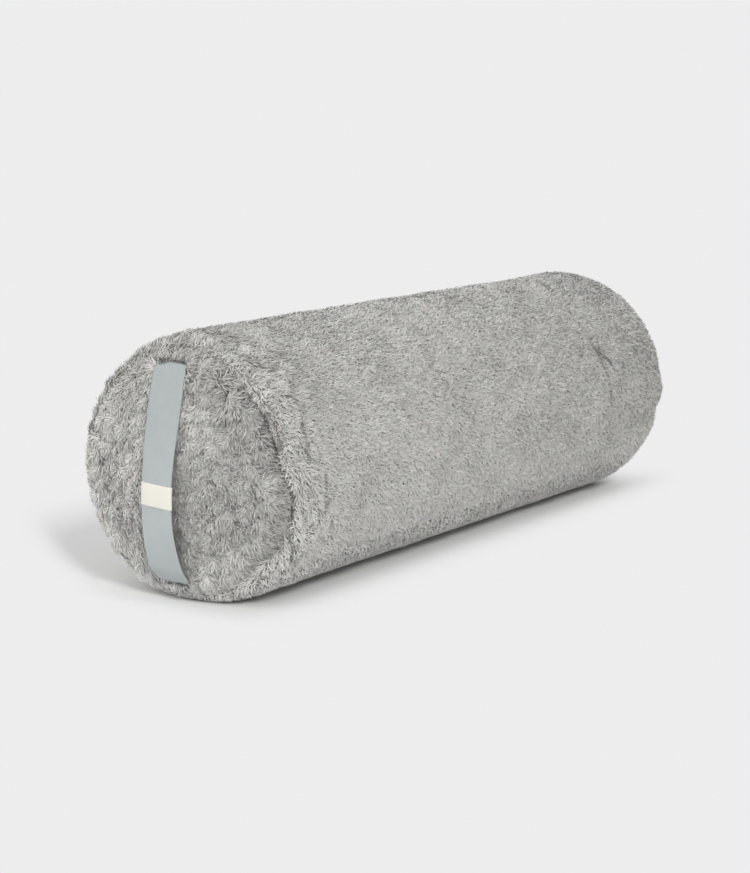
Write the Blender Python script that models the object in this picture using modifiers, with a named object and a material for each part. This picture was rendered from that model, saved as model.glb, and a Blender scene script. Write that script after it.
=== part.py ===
# Round yoga bolster: a firm filled cylinder in a removable wool cover, with a webbing handle on one end
# and a zip along one side. Metres, +Z up. The long axis lies along X with the handle at -X,
# and the bolster rests on its flattened underside at z = 0.

import math

import bmesh
import bpy
from mathutils import Matrix, Vector

# The cover's outside
SEAM_TO_SEAM = 0.592
BODY_RADIUS = 0.104
FOOT_HALF_WIDTH = 0.038
CROWN_HEIGHT = 0.016
CROWN_POWER = 2.5
SEAM_LIFT = 0.00530909
SHOULDER_LENGTH = 0.0215

# The cover's cloth, pile and backing together, and its seams
COVER_WALL = 0.003
SEAM_ALLOWANCE = 0.010
SEAM_LEAN = math.radians(-22.0)
BINDING_DEPTH = 0.0035
BINDING_WALL = 0.0005

# The gap that touching pieces keep, and the one that faceted curved cloths keep
SEAT_GAP = 0.0003
CLOTH_GAP = 0.0008

# The handle
STRAP_WIDTH = 0.030
STRAP_WALL = 0.0018
STRAP_OFFSET = 0.008
STRAP_GRIP = 0.0085
STRAP_RISE = 0.0028
STRAP_STAND_OFF = 0.005
STRAP_SAG = 0.25
STRAP_POWER = 2
STRAP_ROUND_FROM = 0.72
STRAP_ROUND_FULL = 0.92
POCKET_OVERRUN = 0.0013
HAND_GAP = 0.0093
LABEL_HEIGHT = 0.016
LABEL_WALL = 0.0005
LABEL_DROP = 0.014

# The zip, in its own frame: along X, across the tube's surface, and out from it
ZIP_ANGLE = math.radians(14.0)
SLOT_TO_SEAM = 0.056
SLOT_WIDTH = 0.0145
TAPE_WIDTH = 0.0155
TAPE_WALL = 0.0005
TAPE_OVERRUN = 0.006
TAPE_SPLIT = 0.00035
CHAIN_HALF_WIDTH = 0.0030
SPINE_EDGE = 0.0009
TOOTH_REACH = 0.0006
TOOTH_PITCH = 0.0032
TOOTH_GAP = 0.0003
TOOTH_HEIGHT = 0.0022
THROAT_SPREAD = 0.0023
THROAT_LENGTH = 0.0075
SLIDER_LENGTH = 0.0115
SLIDER_TAIL_WIDTH = 0.0088
SLIDER_NOSE_WIDTH = 0.0126
SLIDER_PLATE = 0.0011
SLIDER_CORNER = 0.0006
SLIDER_CLEARANCE = 0.0003
TAPE_CLEARANCE = 0.00025
BRIDGE_LENGTH = 0.0082
BRIDGE_WIDTH = 0.0022
BRIDGE_WALL = 0.0010
BRIDGE_CLEAR_HEIGHT = 0.0028
BRIDGE_BEVEL = 0.0006
BAR_DROP = 0.0010
WEDGE_THINNEST = 0.0001
WEDGE_TIP = 0.0004
WEDGE_MARGIN = 0.0002
PULLER_WALL = 0.0012
PULLER_EYE_LENGTH = 0.0048
PULLER_EYE_WIDTH = 0.0032
PULLER_ARM = 0.0012
PULLER_CORNER = 0.0004
PULLER_NECK = 0.003
PULLER_LENGTH = 0.030
PULLER_TAIL_WIDTH = 0.0085
PULLER_HOLE_LENGTH = 0.010
PULLER_HOLE_WIDTH = 0.0032
STOP_LENGTH = 0.0026
STOP_HEIGHT = 0.0024
STOP_BEVEL = 0.0004
STOP_MARGIN = 0.0010
END_MARGIN = 0.010
STITCH_RADIUS = 0.00035
STITCH_INSET = 0.0040

# The inner case and the filling
LINER_WALL = 0.0008
LINER_DRAW_IN = 0.0115
LINER_SEAM_DEPTH = 0.0150
LINER_SHOULDER = 0.016
LINER_SEAM_GAP = 0.0005
LINER_EASE_POWER = 2
LINER_DRAW_POWER = 8

# How far a cutter reaches past what it cuts
CUTTER_SPARE = 0.001

# How finely the curves are drawn
SIDE_SEGMENTS = 27
FOOT_SEGMENTS = 4
BACK_SEGMENTS = 8
SHOULDER_SEGMENTS = 3
CROWN_RINGS = (0.88, 0.70, 0.48, 0.24)
BOW_STEPS = 16
TURN_STEPS = 4
THROAT_STEPS = 8
TAIL_STEPS = 6
STRAP_SEGMENTS = 4
LABEL_SEGMENTS = 2
LABEL_STEPS = 4

# Places that follow from the sizes
AXIS_HEIGHT = math.sqrt(BODY_RADIUS ** 2 - FOOT_HALF_WIDTH ** 2)
SEAM_RADIUS = AXIS_HEIGHT - SEAM_LIFT
LINER_SEAM_RADIUS = SEAM_RADIUS - LINER_DRAW_IN
FOOT_ANGLE = math.asin(FOOT_HALF_WIDTH / BODY_RADIUS)
STRAP_REACH = CROWN_HEIGHT + HAND_GAP + STRAP_WALL
LABEL_REACH = STRAP_REACH + SEAT_GAP + LABEL_WALL
CENTRE_SHIFT = (LABEL_REACH - CROWN_HEIGHT) / 2
FRONT_SEAM = CENTRE_SHIFT - SEAM_TO_SEAM / 2
REAR_SEAM = CENTRE_SHIFT + SEAM_TO_SEAM / 2
SLOT_HALF_ANGLE = math.asin(SLOT_WIDTH / 2 / BODY_RADIUS)
TAPE_TOP_RADIUS = math.sqrt((BODY_RADIUS - COVER_WALL - CLOTH_GAP) ** 2 - TAPE_WIDTH ** 2)
ZIP_RADIUS = TAPE_TOP_RADIUS - TAPE_WALL
TOOTH_BOTTOM = TAPE_WALL + SEAT_GAP
TOOTH_TOP = TOOTH_BOTTOM + TOOTH_HEIGHT
PLATE_TOP = TOOTH_TOP + SLIDER_CLEARANCE + SLIDER_PLATE
PLATE_BOTTOM = -SLIDER_CLEARANCE - SLIDER_PLATE
LINER_ZIP_FLAT = ZIP_RADIUS + PLATE_BOTTOM - CLOTH_GAP
SLOT_REAR = SEAM_TO_SEAM / 2 - SLOT_TO_SEAM
SLOT_FRONT = -SLOT_REAR
TOP_STOP_FRONT = SLOT_FRONT + END_MARGIN
SLIDER_REST = TOP_STOP_FRONT + STOP_LENGTH + SLIDER_CLEARANCE + SLIDER_LENGTH / 2
CHAIN_FRONT = SLIDER_REST - SLIDER_LENGTH / 2
CHAIN_REAR = SLOT_REAR - END_MARGIN
HINGE_HEIGHT = PLATE_TOP + BRIDGE_CLEAR_HEIGHT - BAR_DROP


def clear_scene():
    """Start from nothing."""
    for item in list(bpy.data.objects):
        bpy.data.objects.remove(item, do_unlink=True)


def new_collection(name):
    """Make a collection under the scene."""
    collection = bpy.data.collections.new(name)
    bpy.context.scene.collection.children.link(collection)
    return collection


clear_scene()
BOLSTER = new_collection("round_yoga_bolster")
CUTTERS = new_collection("cutters")


def material(name, colour, roughness, metallic=0.0):
    """One Principled material for each finish."""
    made = bpy.data.materials.new(name)
    made.use_nodes = True
    shader = made.node_tree.nodes["Principled BSDF"]
    shader.inputs["Base Color"].default_value = (*colour, 1.0)
    shader.inputs["Roughness"].default_value = roughness
    shader.inputs["Metallic"].default_value = metallic
    return made


WOOL = material("grey_wool_pile", (0.40, 0.40, 0.385), 0.95)
WEBBING = material("blue_grey_webbing", (0.46, 0.52, 0.525), 0.80)
LABEL = material("cream_label", (0.84, 0.82, 0.74), 0.75)
TAPE = material("grey_zip_tape", (0.30, 0.30, 0.295), 0.80)
NYLON = material("grey_nylon_teeth", (0.24, 0.24, 0.24), 0.40)
METAL = material("nickel", (0.62, 0.61, 0.59), 0.28, 1.0)
THREAD = material("grey_thread", (0.33, 0.33, 0.32), 0.70)
COTTON = material("natural_cotton", (0.78, 0.74, 0.66), 0.90)
STUFFING = material("stuffing", (0.86, 0.84, 0.79), 0.95)


def add_object(name, mesh, finish, collection=BOLSTER, parent=None):
    """Put a mesh in the scene under the piece's own name."""
    item = bpy.data.objects.new(name, mesh)
    mesh.materials.append(finish)
    collection.objects.link(item)
    item.parent = parent
    return item


def mesh_from(bm, name):
    """Turn a bmesh into a mesh data block."""
    mesh = bpy.data.meshes.new(name)
    bm.to_mesh(mesh)
    bm.free()
    return mesh


def solidify(item, wall, offset=-1.0):
    """Give an open cloth its wall."""
    shell = item.modifiers.new("wall", "SOLIDIFY")
    shell.thickness = wall
    shell.offset = offset
    shell.use_even_offset = True


def cut(item, cutter):
    """Take the cutter's shape out of a piece."""
    cutter.hide_render = True
    cutter.display_type = "WIRE"
    boolean = item.modifiers.new("cut", "BOOLEAN")
    boolean.operation = "DIFFERENCE"
    boolean.solver = "EXACT"
    boolean.object = cutter


def join(item, other):
    """Add another shape to a piece."""
    other.hide_render = True
    other.display_type = "WIRE"
    boolean = item.modifiers.new("join", "BOOLEAN")
    boolean.operation = "UNION"
    boolean.solver = "EXACT"
    boolean.object = other


# The outline round the axis: a circle with a flat foot


def spread(start, end, count):
    """Angles from start up to, and without, end."""
    return [start + (end - start) * step / count for step in range(count)]


def column_angles(coarseness=1):
    """Angles round the tube, from the zip slot's upper edge right round and over the slot."""
    full = 2 * math.pi
    first = ZIP_ANGLE + SLOT_HALF_ANGLE
    foot_start = 1.5 * math.pi - FOOT_ANGLE
    foot_end = 1.5 * math.pi + FOOT_ANGLE
    last = full + ZIP_ANGLE - SLOT_HALF_ANGLE
    angles = spread(first, foot_start, SIDE_SEGMENTS // coarseness)
    angles += spread(foot_start, foot_end, FOOT_SEGMENTS // coarseness)
    angles += spread(foot_end, last, BACK_SEGMENTS // coarseness)
    return angles + [last, full + first]


def ring_point(x, radius, angle, inset=0.0, zip_flat=None):
    """A point round the axis, no lower than the foot that lies the inset above the floor."""
    reach = radius
    down = -math.sin(angle)
    if down > 0:
        reach = min(reach, (AXIS_HEIGHT - inset) / down)
    across = math.cos(angle - ZIP_ANGLE)
    if zip_flat is not None and across > 0:
        reach = min(reach, zip_flat / across)
    return Vector((x, reach * math.cos(angle), AXIS_HEIGHT + reach * math.sin(angle)))


def rolled_cloth(name, rows, finish, place, opening=None, coarseness=1):
    """Cut a flat cloth, roll it round the axis and close it where its edges meet.

    rows are places along the cloth, place turns a row and an angle into a point,
    and opening says which faces of the last column are left out.
    """
    angles = column_angles(coarseness)
    bm = bmesh.new()
    bmesh.ops.create_grid(bm, x_segments=len(rows) - 1, y_segments=len(angles) - 1, size=1.0)
    indices = {}
    for vert in bm.verts:
        row = round((vert.co.x + 1) / 2 * (len(rows) - 1))
        column = round((vert.co.y + 1) / 2 * (len(angles) - 1))
        indices[vert] = (row, column)
    if opening is not None:
        unwanted = []
        for face in bm.faces:
            row = min(indices[vert][0] for vert in face.verts)
            column = min(indices[vert][1] for vert in face.verts)
            if column == len(angles) - 2 and opening(rows[row], rows[row + 1]):
                unwanted.append(face)
        bmesh.ops.delete(bm, geom=unwanted, context="FACES_ONLY")
    for vert, (row, column) in indices.items():
        vert.co = place(rows[row], angles[column])
    bmesh.ops.remove_doubles(bm, verts=bm.verts, dist=1e-6)
    face_away(bm)
    return add_object(name, mesh_from(bm, name), finish)


def face_away(bm):
    """Turn the cloth's right side away from the middle of the bolster."""
    bmesh.ops.recalc_face_normals(bm, faces=bm.faces)
    outward = 0.0
    for face in bm.faces:
        centre = face.calc_center_median()
        nearest = Vector((min(max(centre.x, FRONT_SEAM), REAR_SEAM), 0.0, AXIS_HEIGHT))
        outward += face.calc_area() * face.normal.dot(centre - nearest)
    if outward < 0:
        bmesh.ops.reverse_faces(bm, faces=bm.faces)


# Outlines along the bolster, each a list of (depth, radius), where depth runs inwards from the seam


def seam_point(along, across):
    """A point in the seam allowance: so far in from the seam, and so far to the tube's side of it."""
    lean = Vector((math.cos(SEAM_LEAN), math.sin(SEAM_LEAN)))
    square = Vector((-lean.y, lean.x))
    point = Vector((0.0, SEAM_RADIUS)) + lean * along + square * across
    return (point.x, point.y)


def crown_depth(radius):
    """How far the crowned end stands out beyond its seam, as a negative depth."""
    return -CROWN_HEIGHT * (1 - (radius / SEAM_RADIUS) ** CROWN_POWER)


def shoulder_outline():
    """From the inner edge of the seam allowance over the drawn-in shoulder to the tube."""
    half_gap = SEAT_GAP / 2
    points = [seam_point(SEAM_ALLOWANCE, half_gap), seam_point(0.0, half_gap)]
    for step in range(SHOULDER_SEGMENTS - 1, -1, -1):
        turn = math.pi / 2 * step / SHOULDER_SEGMENTS
        depth = SHOULDER_LENGTH * (1 - math.sin(turn))
        points.append((depth, SEAM_RADIUS + (BODY_RADIUS - SEAM_RADIUS) * math.cos(turn)))
    return points


def crown_outline():
    """From the inner edge of the end panel's allowance round its rim to its middle."""
    half_gap = SEAT_GAP / 2
    points = [seam_point(SEAM_ALLOWANCE, -half_gap), seam_point(0.0, -half_gap)]
    for share in CROWN_RINGS:
        radius = LINER_SEAM_RADIUS * share
        points.append((crown_depth(radius), radius))
    points.append((crown_depth(0.0), 0.0))
    return points


def liner_crown_depth(radius):
    """The inner case's end follows the cover's end, and draws in to pass the seam allowances."""
    slope = CROWN_HEIGHT * CROWN_POWER / SEAM_RADIUS * (radius / SEAM_RADIUS) ** (CROWN_POWER - 1)
    share = radius / LINER_SEAM_RADIUS
    under_cover = crown_depth(radius) + COVER_WALL * math.hypot(1.0, slope) + SEAT_GAP
    at_seam = crown_depth(LINER_SEAM_RADIUS) + COVER_WALL + SEAT_GAP
    slack = LINER_SEAM_DEPTH - at_seam
    eased = CLOTH_GAP * share ** LINER_EASE_POWER
    return under_cover + eased + (slack - CLOTH_GAP) * share ** LINER_DRAW_POWER


def liner_crown_outline(inset):
    """The inner case's end, or the filling's end that lies the inset behind it."""
    points = []
    for share in (1.0,) + CROWN_RINGS:
        radius = (LINER_SEAM_RADIUS - LINER_SEAM_GAP) * share
        points.append((liner_crown_depth(radius) + inset, radius))
    points.append((liner_crown_depth(0.0) + inset, 0.0))
    return points


def liner_shoulder_outline(inset, radius):
    """The inner case's shoulder, from its seam to its tube."""
    points = []
    start = LINER_SEAM_DEPTH + inset
    for step in range(SHOULDER_SEGMENTS, -1, -1):
        turn = math.pi / 2 * step / SHOULDER_SEGMENTS
        depth = start + LINER_SHOULDER * (1 - math.sin(turn))
        seam = LINER_SEAM_RADIUS - inset
        points.append((depth, seam + (radius - seam) * math.cos(turn)))
    return points


def along_bolster(outline, end):
    """Turn depths at one end into places along X: end is -1 at the handle and 1 at the far end."""
    seam = FRONT_SEAM if end < 0 else REAR_SEAM
    return [(seam - end * depth, radius) for depth, radius in outline]


def through(outline, stations, radius):
    """A full length: an end's outline, stations along the tube, and the other end's outline."""
    front = along_bolster(outline, -1)
    rear = along_bolster(outline, 1)
    return front + [(x, radius) for x in stations] + rear[::-1]


# The cover


def cover_place(row, angle):
    """Where a point of the cover's outside lies."""
    x, radius = row
    return ring_point(x, radius, angle)


def in_slot(row, next_row):
    """Whether this stretch of the cloth lies in the zip's slot."""
    middle = (row[0] + next_row[0]) / 2
    return SLOT_FRONT < middle < SLOT_REAR and min(row[1], next_row[1]) >= BODY_RADIUS


def make_cover_body():
    """The rolled body panel with its drawn-in shoulders, seam allowances and zip slot."""
    third = (SLOT_REAR - SLOT_FRONT) / 3
    stations = [SLOT_FRONT, SLOT_FRONT + third, SLOT_REAR - third, SLOT_REAR]
    rows = through(shoulder_outline(), stations, BODY_RADIUS)
    body = rolled_cloth("cover_body_panel", rows, WOOL, cover_place, in_slot)
    solidify(body, COVER_WALL)
    return body


def make_cover_end(name, end):
    """A crowned end panel with its allowance turned in."""
    rows = along_bolster(crown_outline(), end)
    panel = rolled_cloth(name, rows, WOOL, cover_place)
    solidify(panel, COVER_WALL)
    return panel


def make_seam_binding(name, end):
    """The overlocked edge, a channel of thread over both raw edges of a seam."""
    inner = SEAT_GAP / 2 + COVER_WALL + SEAT_GAP
    outer = inner + BINDING_WALL
    start = SEAM_ALLOWANCE - BINDING_DEPTH
    stop = SEAM_ALLOWANCE + SEAT_GAP
    outline = [seam_point(start, outer), seam_point(stop + BINDING_WALL, outer)]
    outline += [seam_point(stop + BINDING_WALL, -outer), seam_point(start, -outer)]
    outline += [seam_point(start, -inner), seam_point(stop, -inner)]
    outline += [seam_point(stop, inner), seam_point(start, inner), seam_point(start, outer)]
    return rolled_cloth(name, along_bolster(outline, end), THREAD, cover_place)


# The handle, a band whose ends follow the round seam and whose middle is flat across


def strap_outline():
    """The band's middle surface from its upper sewn end to its lower one, as (depth, height)."""
    across = SEAT_GAP / 2 + SEAT_GAP / 2 + STRAP_WALL / 2
    half = [seam_point(STRAP_GRIP, across), seam_point(STRAP_GRIP / 2, across), seam_point(0.0, across)]
    turn_start = Vector(seam_point(-STRAP_RISE, across))
    bow_end = Vector((-STRAP_STAND_OFF, SEAM_RADIUS - STRAP_RISE / 2))
    corner = turn_start + (turn_start - Vector(half[-1]))
    for step in range(TURN_STEPS):
        t = step / TURN_STEPS
        point = turn_start * (1 - t) ** 2 + corner * (2 * t * (1 - t)) + bow_end * t ** 2
        half.append((point.x, point.y))
    bow = []
    middle = -STRAP_REACH + STRAP_WALL / 2
    for step in range(BOW_STEPS + 1):
        height = bow_end.y * (1 - 2 * step / BOW_STEPS)
        share = height / bow_end.y
        slack = share + STRAP_SAG * (1 - share ** 2)
        fullness = 1 - abs(slack) ** STRAP_POWER
        bow.append((bow_end.x + (middle - bow_end.x) * fullness, height))
    mirrored = [(depth, -height) for depth, height in reversed(half)]
    return half + bow + mirrored


def strap_place(depth, height, across):
    """A point of the band: on the round seam near the ends, and flat across in the middle."""
    y = STRAP_OFFSET + across
    past = abs(height) / SEAM_RADIUS - STRAP_ROUND_FROM
    roundness = min(1.0, max(0.0, past / (STRAP_ROUND_FULL - STRAP_ROUND_FROM)))
    drop = abs(height) - math.sqrt(max(height ** 2 - y ** 2, 0.0))
    z = height - math.copysign(drop * roundness, height)
    return Vector((FRONT_SEAM + depth, y, AXIS_HEIGHT + z))


def band(name, outline, width, finish, segments, collection=BOLSTER):
    """An open band of cloth along an outline, centred on the strap's line."""
    bm = bmesh.new()
    bmesh.ops.create_grid(bm, x_segments=len(outline) - 1, y_segments=segments, size=1.0)
    for vert in bm.verts:
        row = round((vert.co.x + 1) / 2 * (len(outline) - 1))
        depth, height = outline[row]
        vert.co = strap_place(depth, height, vert.co.y * width / 2)
    return add_object(name, mesh_from(bm, name), finish, collection)


def make_strap(cover_body):
    """The webbing handle, with the pocket that its ends press into the body panel's allowance."""
    outline = strap_outline()
    strap = band("handle_strap", outline, STRAP_WIDTH, WEBBING, STRAP_SEGMENTS)
    solidify(strap, STRAP_WALL, 0.0)
    inward = (Vector(outline[0]) - Vector(outline[1])).normalized()
    grip = Vector(outline[0]) + inward * POCKET_OVERRUN
    longer = [tuple(grip)] + outline[1:-1] + [(grip.x, -grip.y)]
    pocket_width = STRAP_WIDTH + 2 * SEAT_GAP
    pocket = band("strap_pocket", longer, pocket_width, WEBBING, STRAP_SEGMENTS, CUTTERS)
    solidify(pocket, STRAP_WALL + 2 * SEAT_GAP, 0.0)
    cut(cover_body, pocket)


def make_label():
    """The label, a flat sleeve folded round the band."""
    outline = strap_outline()
    low = -LABEL_DROP - LABEL_HEIGHT / 2
    high = -LABEL_DROP + LABEL_HEIGHT / 2
    rise = LABEL_HEIGHT / LABEL_STEPS
    rows = [point_at_height(outline, high - rise * step) for step in range(LABEL_STEPS + 1)]
    longer = [point_at_height(outline, high + CUTTER_SPARE)] + rows[1:-1]
    longer.append(point_at_height(outline, low - CUTTER_SPARE))
    sleeve_width = STRAP_WIDTH + 2 * (SEAT_GAP + LABEL_WALL)
    sleeve_wall = STRAP_WALL + 2 * (SEAT_GAP + LABEL_WALL)
    label = band("handle_label", rows, sleeve_width, LABEL, LABEL_SEGMENTS)
    solidify(label, sleeve_wall, 0.0)
    hollow_width = STRAP_WIDTH + 2 * SEAT_GAP
    hollow = band("label_hollow", longer, hollow_width, LABEL, LABEL_SEGMENTS, CUTTERS)
    solidify(hollow, STRAP_WALL + 2 * SEAT_GAP, 0.0)
    cut(label, hollow)


def point_at_height(outline, height):
    """The band's point at a height, between the bow's points."""
    for (depth_a, height_a), (depth_b, height_b) in zip(outline, outline[1:]):
        if height_b <= height <= height_a:
            share = (height_a - height) / (height_a - height_b)
            return (depth_a + (depth_b - depth_a) * share, height)
    return outline[len(outline) // 2]


# The zip


def make_empty(name, location, parent=None, rotation=0.0):
    """An empty that carries pieces, turned about X."""
    empty = bpy.data.objects.new(name, None)
    empty.location = location
    empty.rotation_euler = (rotation, 0.0, 0.0)
    empty.parent = parent
    empty.hide_render = True
    BOLSTER.objects.link(empty)
    return empty


def corners_only(points):
    """Leave out the points that lie on a straight run."""
    kept = []
    for index, (x, y) in enumerate(points):
        before = points[index - 1]
        after = points[(index + 1) % len(points)]
        turn = (x - before[0]) * (after[1] - y) - (y - before[1]) * (after[0] - x)
        if abs(turn) > 1e-12:
            kept.append((x, y))
    return kept


def plate(name, outline, bottom, top, finish, parent, collection=BOLSTER):
    """A flat outline given a thickness, as a mesh with shared edges."""
    outline = corners_only(outline)
    curve = bpy.data.curves.new(name, "CURVE")
    curve.dimensions = "2D"
    curve.fill_mode = "BOTH"
    curve.extrude = (top - bottom) / 2
    spline = curve.splines.new("POLY")
    spline.points.add(len(outline) - 1)
    for point, (x, y) in zip(spline.points, outline):
        point.co = (x, y, 0.0, 1.0)
    spline.use_cyclic_u = True
    source = bpy.data.objects.new(name + "_outline", curve)
    CUTTERS.objects.link(source)
    graph = bpy.context.evaluated_depsgraph_get()
    mesh = bpy.data.meshes.new_from_object(source.evaluated_get(graph))
    bpy.data.objects.remove(source, do_unlink=True)
    mesh.transform(Matrix.Translation((0.0, 0.0, (top + bottom) / 2)))
    bm = bmesh.new()
    bm.from_mesh(mesh)
    bmesh.ops.remove_doubles(bm, verts=bm.verts, dist=1e-6)
    bmesh.ops.recalc_face_normals(bm, faces=bm.faces)
    bpy.data.meshes.remove(mesh)
    return add_object(name, mesh_from(bm, name), finish, collection, parent)


def block(name, low, high, finish, parent, collection=BOLSTER, bevel=0.0):
    """A box between two corners, with its edges eased where a bevel is given."""
    bm = bmesh.new()
    bmesh.ops.create_cube(bm, size=1.0)
    size = Vector(high) - Vector(low)
    middle = (Vector(high) + Vector(low)) / 2
    for vert in bm.verts:
        vert.co = Vector((vert.co.x * size.x, vert.co.y * size.y, vert.co.z * size.z)) + middle
    item = add_object(name, mesh_from(bm, name), finish, collection, parent)
    if bevel > 0:
        eased = item.modifiers.new("eased", "BEVEL")
        eased.width = bevel
        eased.segments = 2
    return item


def throat(x):
    """How far each half of the chain stands off the middle line at a place along X."""
    start = SLIDER_REST + SLIDER_LENGTH / 2 - THROAT_LENGTH / 2
    share = min(1.0, max(0.0, (start - x) / THROAT_LENGTH))
    return THROAT_SPREAD * share * share * (3 - 2 * share)


def chain_outline(side):
    """One half of the chain: a spine with teeth that reach over the middle line."""
    half_pitch = TOOTH_PITCH / 2
    count = int((CHAIN_REAR - CHAIN_FRONT) / TOOTH_PITCH - 1)
    first = CHAIN_REAR - count * TOOTH_PITCH - (half_pitch if side > 0 else 0.0)
    inner = [(CHAIN_FRONT, SPINE_EDGE)]
    for tooth in range(count):
        start = first + tooth * TOOTH_PITCH
        stop = start + half_pitch - TOOTH_GAP
        inner += [(start, SPINE_EDGE), (start, -TOOTH_REACH), (stop, -TOOTH_REACH), (stop, SPINE_EDGE)]
    inner.append((CHAIN_REAR, SPINE_EDGE))
    outer = [(CHAIN_REAR, CHAIN_HALF_WIDTH)]
    for step in range(THROAT_STEPS + 1):
        x = CHAIN_FRONT + THROAT_LENGTH * (1 - step / THROAT_STEPS)
        outer.append((x, CHAIN_HALF_WIDTH))
    outline = [(x, side * (y + throat(x))) for x, y in inner + outer]
    return outline[::-side]


def tape_outline(side):
    """One half of the tape, whose inner edge parts in front of the slider."""
    front = SLOT_FRONT - TAPE_OVERRUN
    rear = SLOT_REAR + TAPE_OVERRUN
    bend = SLIDER_REST + SLIDER_LENGTH / 2
    inner = [(rear, TAPE_SPLIT)]
    for step in range(THROAT_STEPS + 1):
        x = bend - THROAT_LENGTH * step / THROAT_STEPS
        inner.append((x, TAPE_SPLIT + throat(x)))
    inner.append((front, TAPE_SPLIT + throat(front)))
    outline = inner + [(front, TAPE_WIDTH), (rear, TAPE_WIDTH)]
    return [(x, side * y) for x, y in outline][::-side]


def make_zip_half(side, word, zip_line):
    """The tape, the teeth, the stitching and the top stop of one half."""
    plate("zip_tape_" + word, tape_outline(side), 0.0, TAPE_WALL, TAPE, zip_line)
    plate("zip_teeth_" + word, chain_outline(side), TOOTH_BOTTOM, TOOTH_TOP, NYLON, zip_line)
    stop_front = TOP_STOP_FRONT
    spread_here = throat(stop_front)
    near = TAPE_SPLIT + spread_here + STOP_MARGIN / 2
    far = CHAIN_HALF_WIDTH + spread_here
    y_low, y_high = sorted((side * near, side * far))
    low = (stop_front, y_low, TOOTH_BOTTOM)
    high = (stop_front + STOP_LENGTH, y_high, TOOTH_BOTTOM + STOP_HEIGHT)
    block("zip_top_stop_" + word, low, high, METAL, zip_line, bevel=STOP_BEVEL)
    make_stitch("zip_stitch_" + word, side, zip_line)


def make_stitch(name, side, zip_line):
    """The line of thread that holds a tape's outer edge to the body panel."""
    curve = bpy.data.curves.new(name, "CURVE")
    curve.dimensions = "3D"
    curve.bevel_depth = STITCH_RADIUS
    curve.bevel_resolution = 1
    curve.use_fill_caps = True
    spline = curve.splines.new("POLY")
    spline.points.add(1)
    y = side * (TAPE_WIDTH - STITCH_INSET)
    z = -SEAT_GAP - STITCH_RADIUS
    spline.points[0].co = (SLOT_FRONT, y, z, 1.0)
    spline.points[1].co = (SLOT_REAR, y, z, 1.0)
    curve.materials.append(THREAD)
    item = bpy.data.objects.new(name, curve)
    item.parent = zip_line
    BOLSTER.objects.link(item)


def slider_outline():
    """The slider's plan, narrow at the tail and broad at the nose, about its own middle."""
    half = SLIDER_LENGTH / 2
    tail = SLIDER_TAIL_WIDTH / 2
    nose = SLIDER_NOSE_WIDTH / 2
    corner = SLIDER_CORNER
    side = [(half, tail - corner), (half - corner, tail), (0.0, tail)]
    side += [(-half + 3 * corner, nose), (-half + corner, nose), (-half, nose - corner)]
    return side + [(x, -y) for x, y in reversed(side)]


def channel_outline():
    """The forked way that the chain takes through the slider, about the slider's middle."""
    half = SLIDER_LENGTH / 2 + CUTTER_SPARE
    margin = CHAIN_HALF_WIDTH + SLIDER_CLEARANCE
    side = []
    wedge = []
    for step in range(THROAT_STEPS + 1):
        x = half - 2 * half * step / THROAT_STEPS
        side.append((x, margin + throat(SLIDER_REST + x)))
        if wedge_half_width(-x) > WEDGE_THINNEST:
            wedge.append((-x, wedge_half_width(-x)))
    tip = (wedge[-1][0] + WEDGE_TIP, 0.0)
    inner = wedge + [tip] + [(x, -y) for x, y in reversed(wedge)]
    return side + inner + [(x, -y) for x, y in reversed(side)]


def make_slider(zip_line):
    """Two plates joined by the wedge, side flanges that hold the chain, and a bridge on top."""
    carrier = make_empty("slider_travel", (SLIDER_REST, 0.0, 0.0), zip_line)
    slider = plate("zip_slider", slider_outline(), PLATE_BOTTOM, PLATE_TOP, METAL, carrier)
    channel = plate("slider_channel", channel_outline(), -SLIDER_CLEARANCE,
                    TOOTH_TOP + SLIDER_CLEARANCE, METAL, carrier, CUTTERS)
    cut(slider, channel)
    inner = wedge_half_width(-SLIDER_LENGTH / 2) + WEDGE_MARGIN
    for word, side in (("upper", -1), ("lower", 1)):
        y_low, y_high = sorted((side * inner, side * SLIDER_NOSE_WIDTH))
        low = (-SLIDER_LENGTH, y_low, -TAPE_CLEARANCE)
        high = (SLIDER_LENGTH, y_high, TAPE_WALL + TAPE_CLEARANCE)
        cut(slider, block("tape_slot_" + word, low, high, METAL, carrier, CUTTERS))
    half_length = BRIDGE_LENGTH / 2
    half_width = BRIDGE_WIDTH / 2
    sunk = PLATE_TOP - SLIDER_PLATE / 2
    top = PLATE_TOP + BRIDGE_CLEAR_HEIGHT + BRIDGE_WALL
    low = (-half_length, -half_width, sunk)
    high = (half_length, half_width, top)
    join(slider, block("slider_bridge", low, high, METAL, carrier, CUTTERS, BRIDGE_BEVEL))
    inner_half = half_length - BRIDGE_WALL
    low = (-inner_half, -BRIDGE_WIDTH, PLATE_TOP)
    high = (inner_half, BRIDGE_WIDTH, PLATE_TOP + BRIDGE_CLEAR_HEIGHT)
    cut(slider, block("bridge_way", low, high, METAL, carrier, CUTTERS))
    return carrier


def wedge_half_width(x):
    """Half the wedge's width at a place along the slider, about the slider's middle."""
    return throat(SLIDER_REST + x) - TOOTH_REACH - SLIDER_CLEARANCE


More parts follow.
